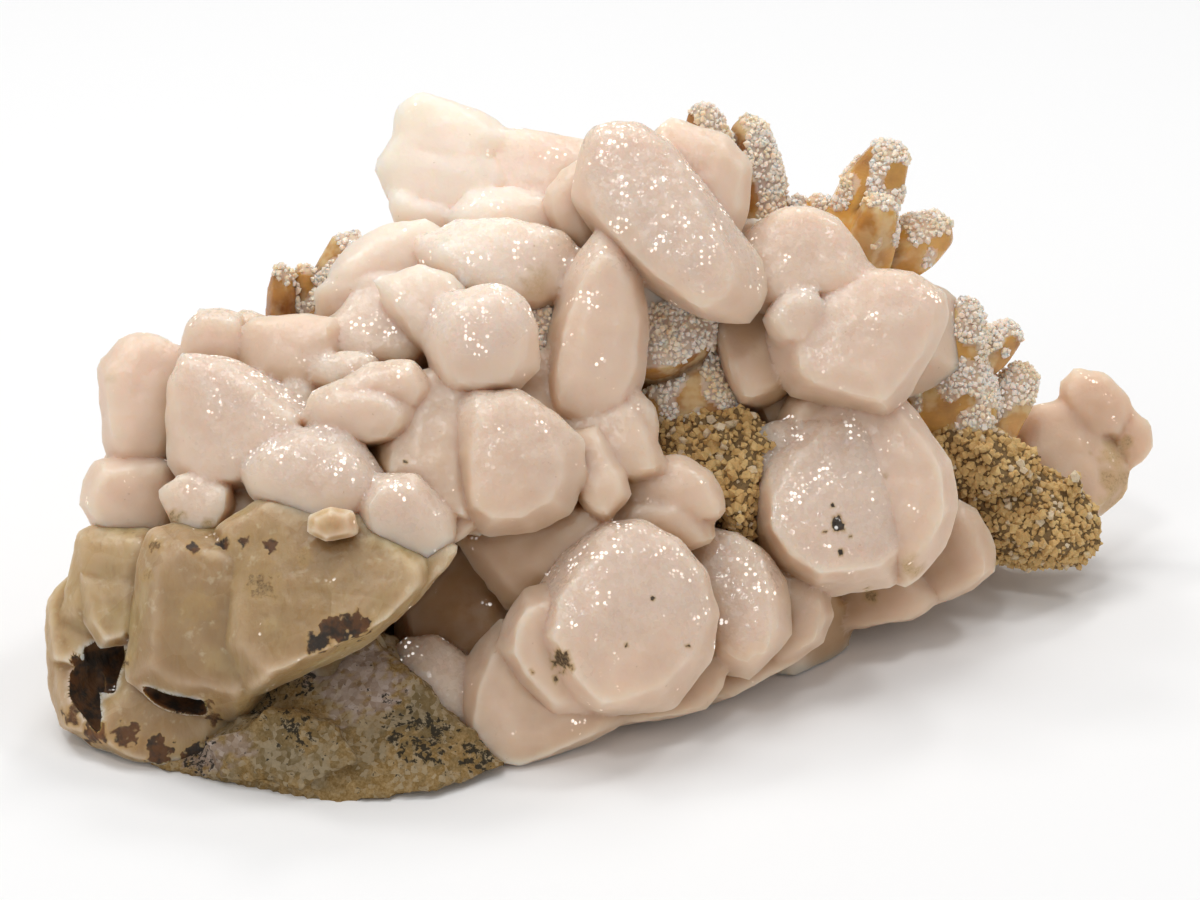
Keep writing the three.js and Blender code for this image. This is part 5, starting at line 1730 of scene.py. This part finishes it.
def make_stage(look):
    make_floor(look.floor)
    for name, at, size, share in LIGHTS:
        area_light(name, at, size, look.key * share)
    scene = bpy.context.scene
    world = bpy.data.worlds.new("pale_room")
    world.use_nodes = True
    background = world.node_tree.nodes["Background"]
    background.inputs["Color"].default_value = (1, 1, 1, 1)
    background.inputs["Strength"].default_value = WORLD_LIGHT
    scene.world = world
    scene.view_settings.view_transform = "Standard"
    camera = bpy.data.cameras.new("camera")
    camera.sensor_width = SENSOR
    camera.lens = SENSOR * VIEW_DISTANCE / FRAME_WIDTH
    viewer = bpy.data.objects.new("camera", camera)
    viewer.location = EYE
    viewer.rotation_euler = (math.pi / 2 - VIEW_TILT, 0, 0)
    scene.collection.objects.link(viewer)
    scene.camera = viewer


# Operators, panel and registration


class SPECIMEN_OT_wall_rock(bpy.types.Operator):
    """Makes the broken, speckled wall rock under the specimen"""

    bl_idname = "specimen.wall_rock"
    bl_label = "Wall rock"

    def execute(self, context):
        make_wall_rock(context.scene.specimen_rock)
        return {"FINISHED"}


class SPECIMEN_OT_iron_crust(bpy.types.Operator):
    """Makes the granular iron crust at the right and in the middle"""

    bl_idname = "specimen.iron_crust"
    bl_label = "Iron crust"

    def execute(self, context):
        make_iron_crust(context.scene.specimen_crust, context.scene.specimen_stage.seed)
        return {"FINISHED"}


class SPECIMEN_OT_quartz_points(bpy.types.Operator):
    """Makes the golden quartz points and the druse that coats them"""

    bl_idname = "specimen.quartz_points"
    bl_label = "Quartz points"

    def execute(self, context):
        make_quartz_points(context.scene.specimen_quartz, context.scene.specimen_stage.seed)
        return {"FINISHED"}


class SPECIMEN_OT_stained_block(bpy.types.Operator):
    """Makes the cleaved, iron-stained calcite at the left"""

    bl_idname = "specimen.stained_block"
    bl_label = "Stained calcite block"

    def execute(self, context):
        make_stained_block(context.scene.specimen_calcite)
        return {"FINISHED"}


class SPECIMEN_OT_calcite_cluster(bpy.types.Operator):
    """Makes the rounded calcite crystals of the main cluster, front and back"""

    bl_idname = "specimen.calcite_cluster"
    bl_label = "Calcite cluster"

    def execute(self, context):
        make_calcite_cluster(context.scene.specimen_calcite)
        return {"FINISHED"}


class SPECIMEN_OT_calcite_pair(bpy.types.Operator):
    """Makes the calcite pair at the right end"""

    bl_idname = "specimen.calcite_pair"
    bl_label = "Calcite pair"

    def execute(self, context):
        make_calcite_pair(context.scene.specimen_calcite)
        return {"FINISHED"}


class SPECIMEN_OT_stage(bpy.types.Operator):
    """Sets up the pale floor, the soft lights and the camera"""

    bl_idname = "specimen.stage"
    bl_label = "Stage"

    def execute(self, context):
        make_stage(context.scene.specimen_stage)
        return {"FINISHED"}


STEPS = (
    SPECIMEN_OT_wall_rock,
    SPECIMEN_OT_iron_crust,
    SPECIMEN_OT_quartz_points,
    SPECIMEN_OT_stained_block,
    SPECIMEN_OT_calcite_cluster,
    SPECIMEN_OT_calcite_pair,
    SPECIMEN_OT_stage,
)
SETTINGS = {
    "specimen_calcite": CalciteSettings,
    "specimen_quartz": QuartzSettings,
    "specimen_crust": CrustSettings,
    "specimen_rock": RockSettings,
    "specimen_stage": StageSettings,
}


class SPECIMEN_PT_panel(bpy.types.Panel):
    """Lists the settings and the steps of the specimen"""

    bl_idname = "SPECIMEN_PT_panel"
    bl_label = "Calcite with quartz"
    bl_space_type = "VIEW_3D"
    bl_region_type = "UI"
    bl_category = "Specimen"

    def draw(self, context):
        for name, settings in SETTINGS.items():
            box = self.layout.box()
            for key in settings.__annotations__:
                box.prop(getattr(context.scene, name), key)
        for step in STEPS:
            self.layout.operator(step.bl_idname)


CLASSES = (*SETTINGS.values(), *STEPS, SPECIMEN_PT_panel)


def register():
    for one in CLASSES:
        bpy.utils.register_class(one)
    for name, settings in SETTINGS.items():
        setattr(bpy.types.Scene, name, PointerProperty(type=settings))


def unregister():
    for name in SETTINGS:
        delattr(bpy.types.Scene, name)
    for one in reversed(CLASSES):
        bpy.utils.unregister_class(one)


def main():
    register()
    bpy.ops.specimen.stage()
    bpy.ops.specimen.wall_rock()
    bpy.ops.specimen.iron_crust()
    bpy.ops.specimen.quartz_points()
    bpy.ops.specimen.stained_block()
    bpy.ops.specimen.calcite_cluster()
    bpy.ops.specimen.calcite_pair()


if __name__ == "__main__":
    main()
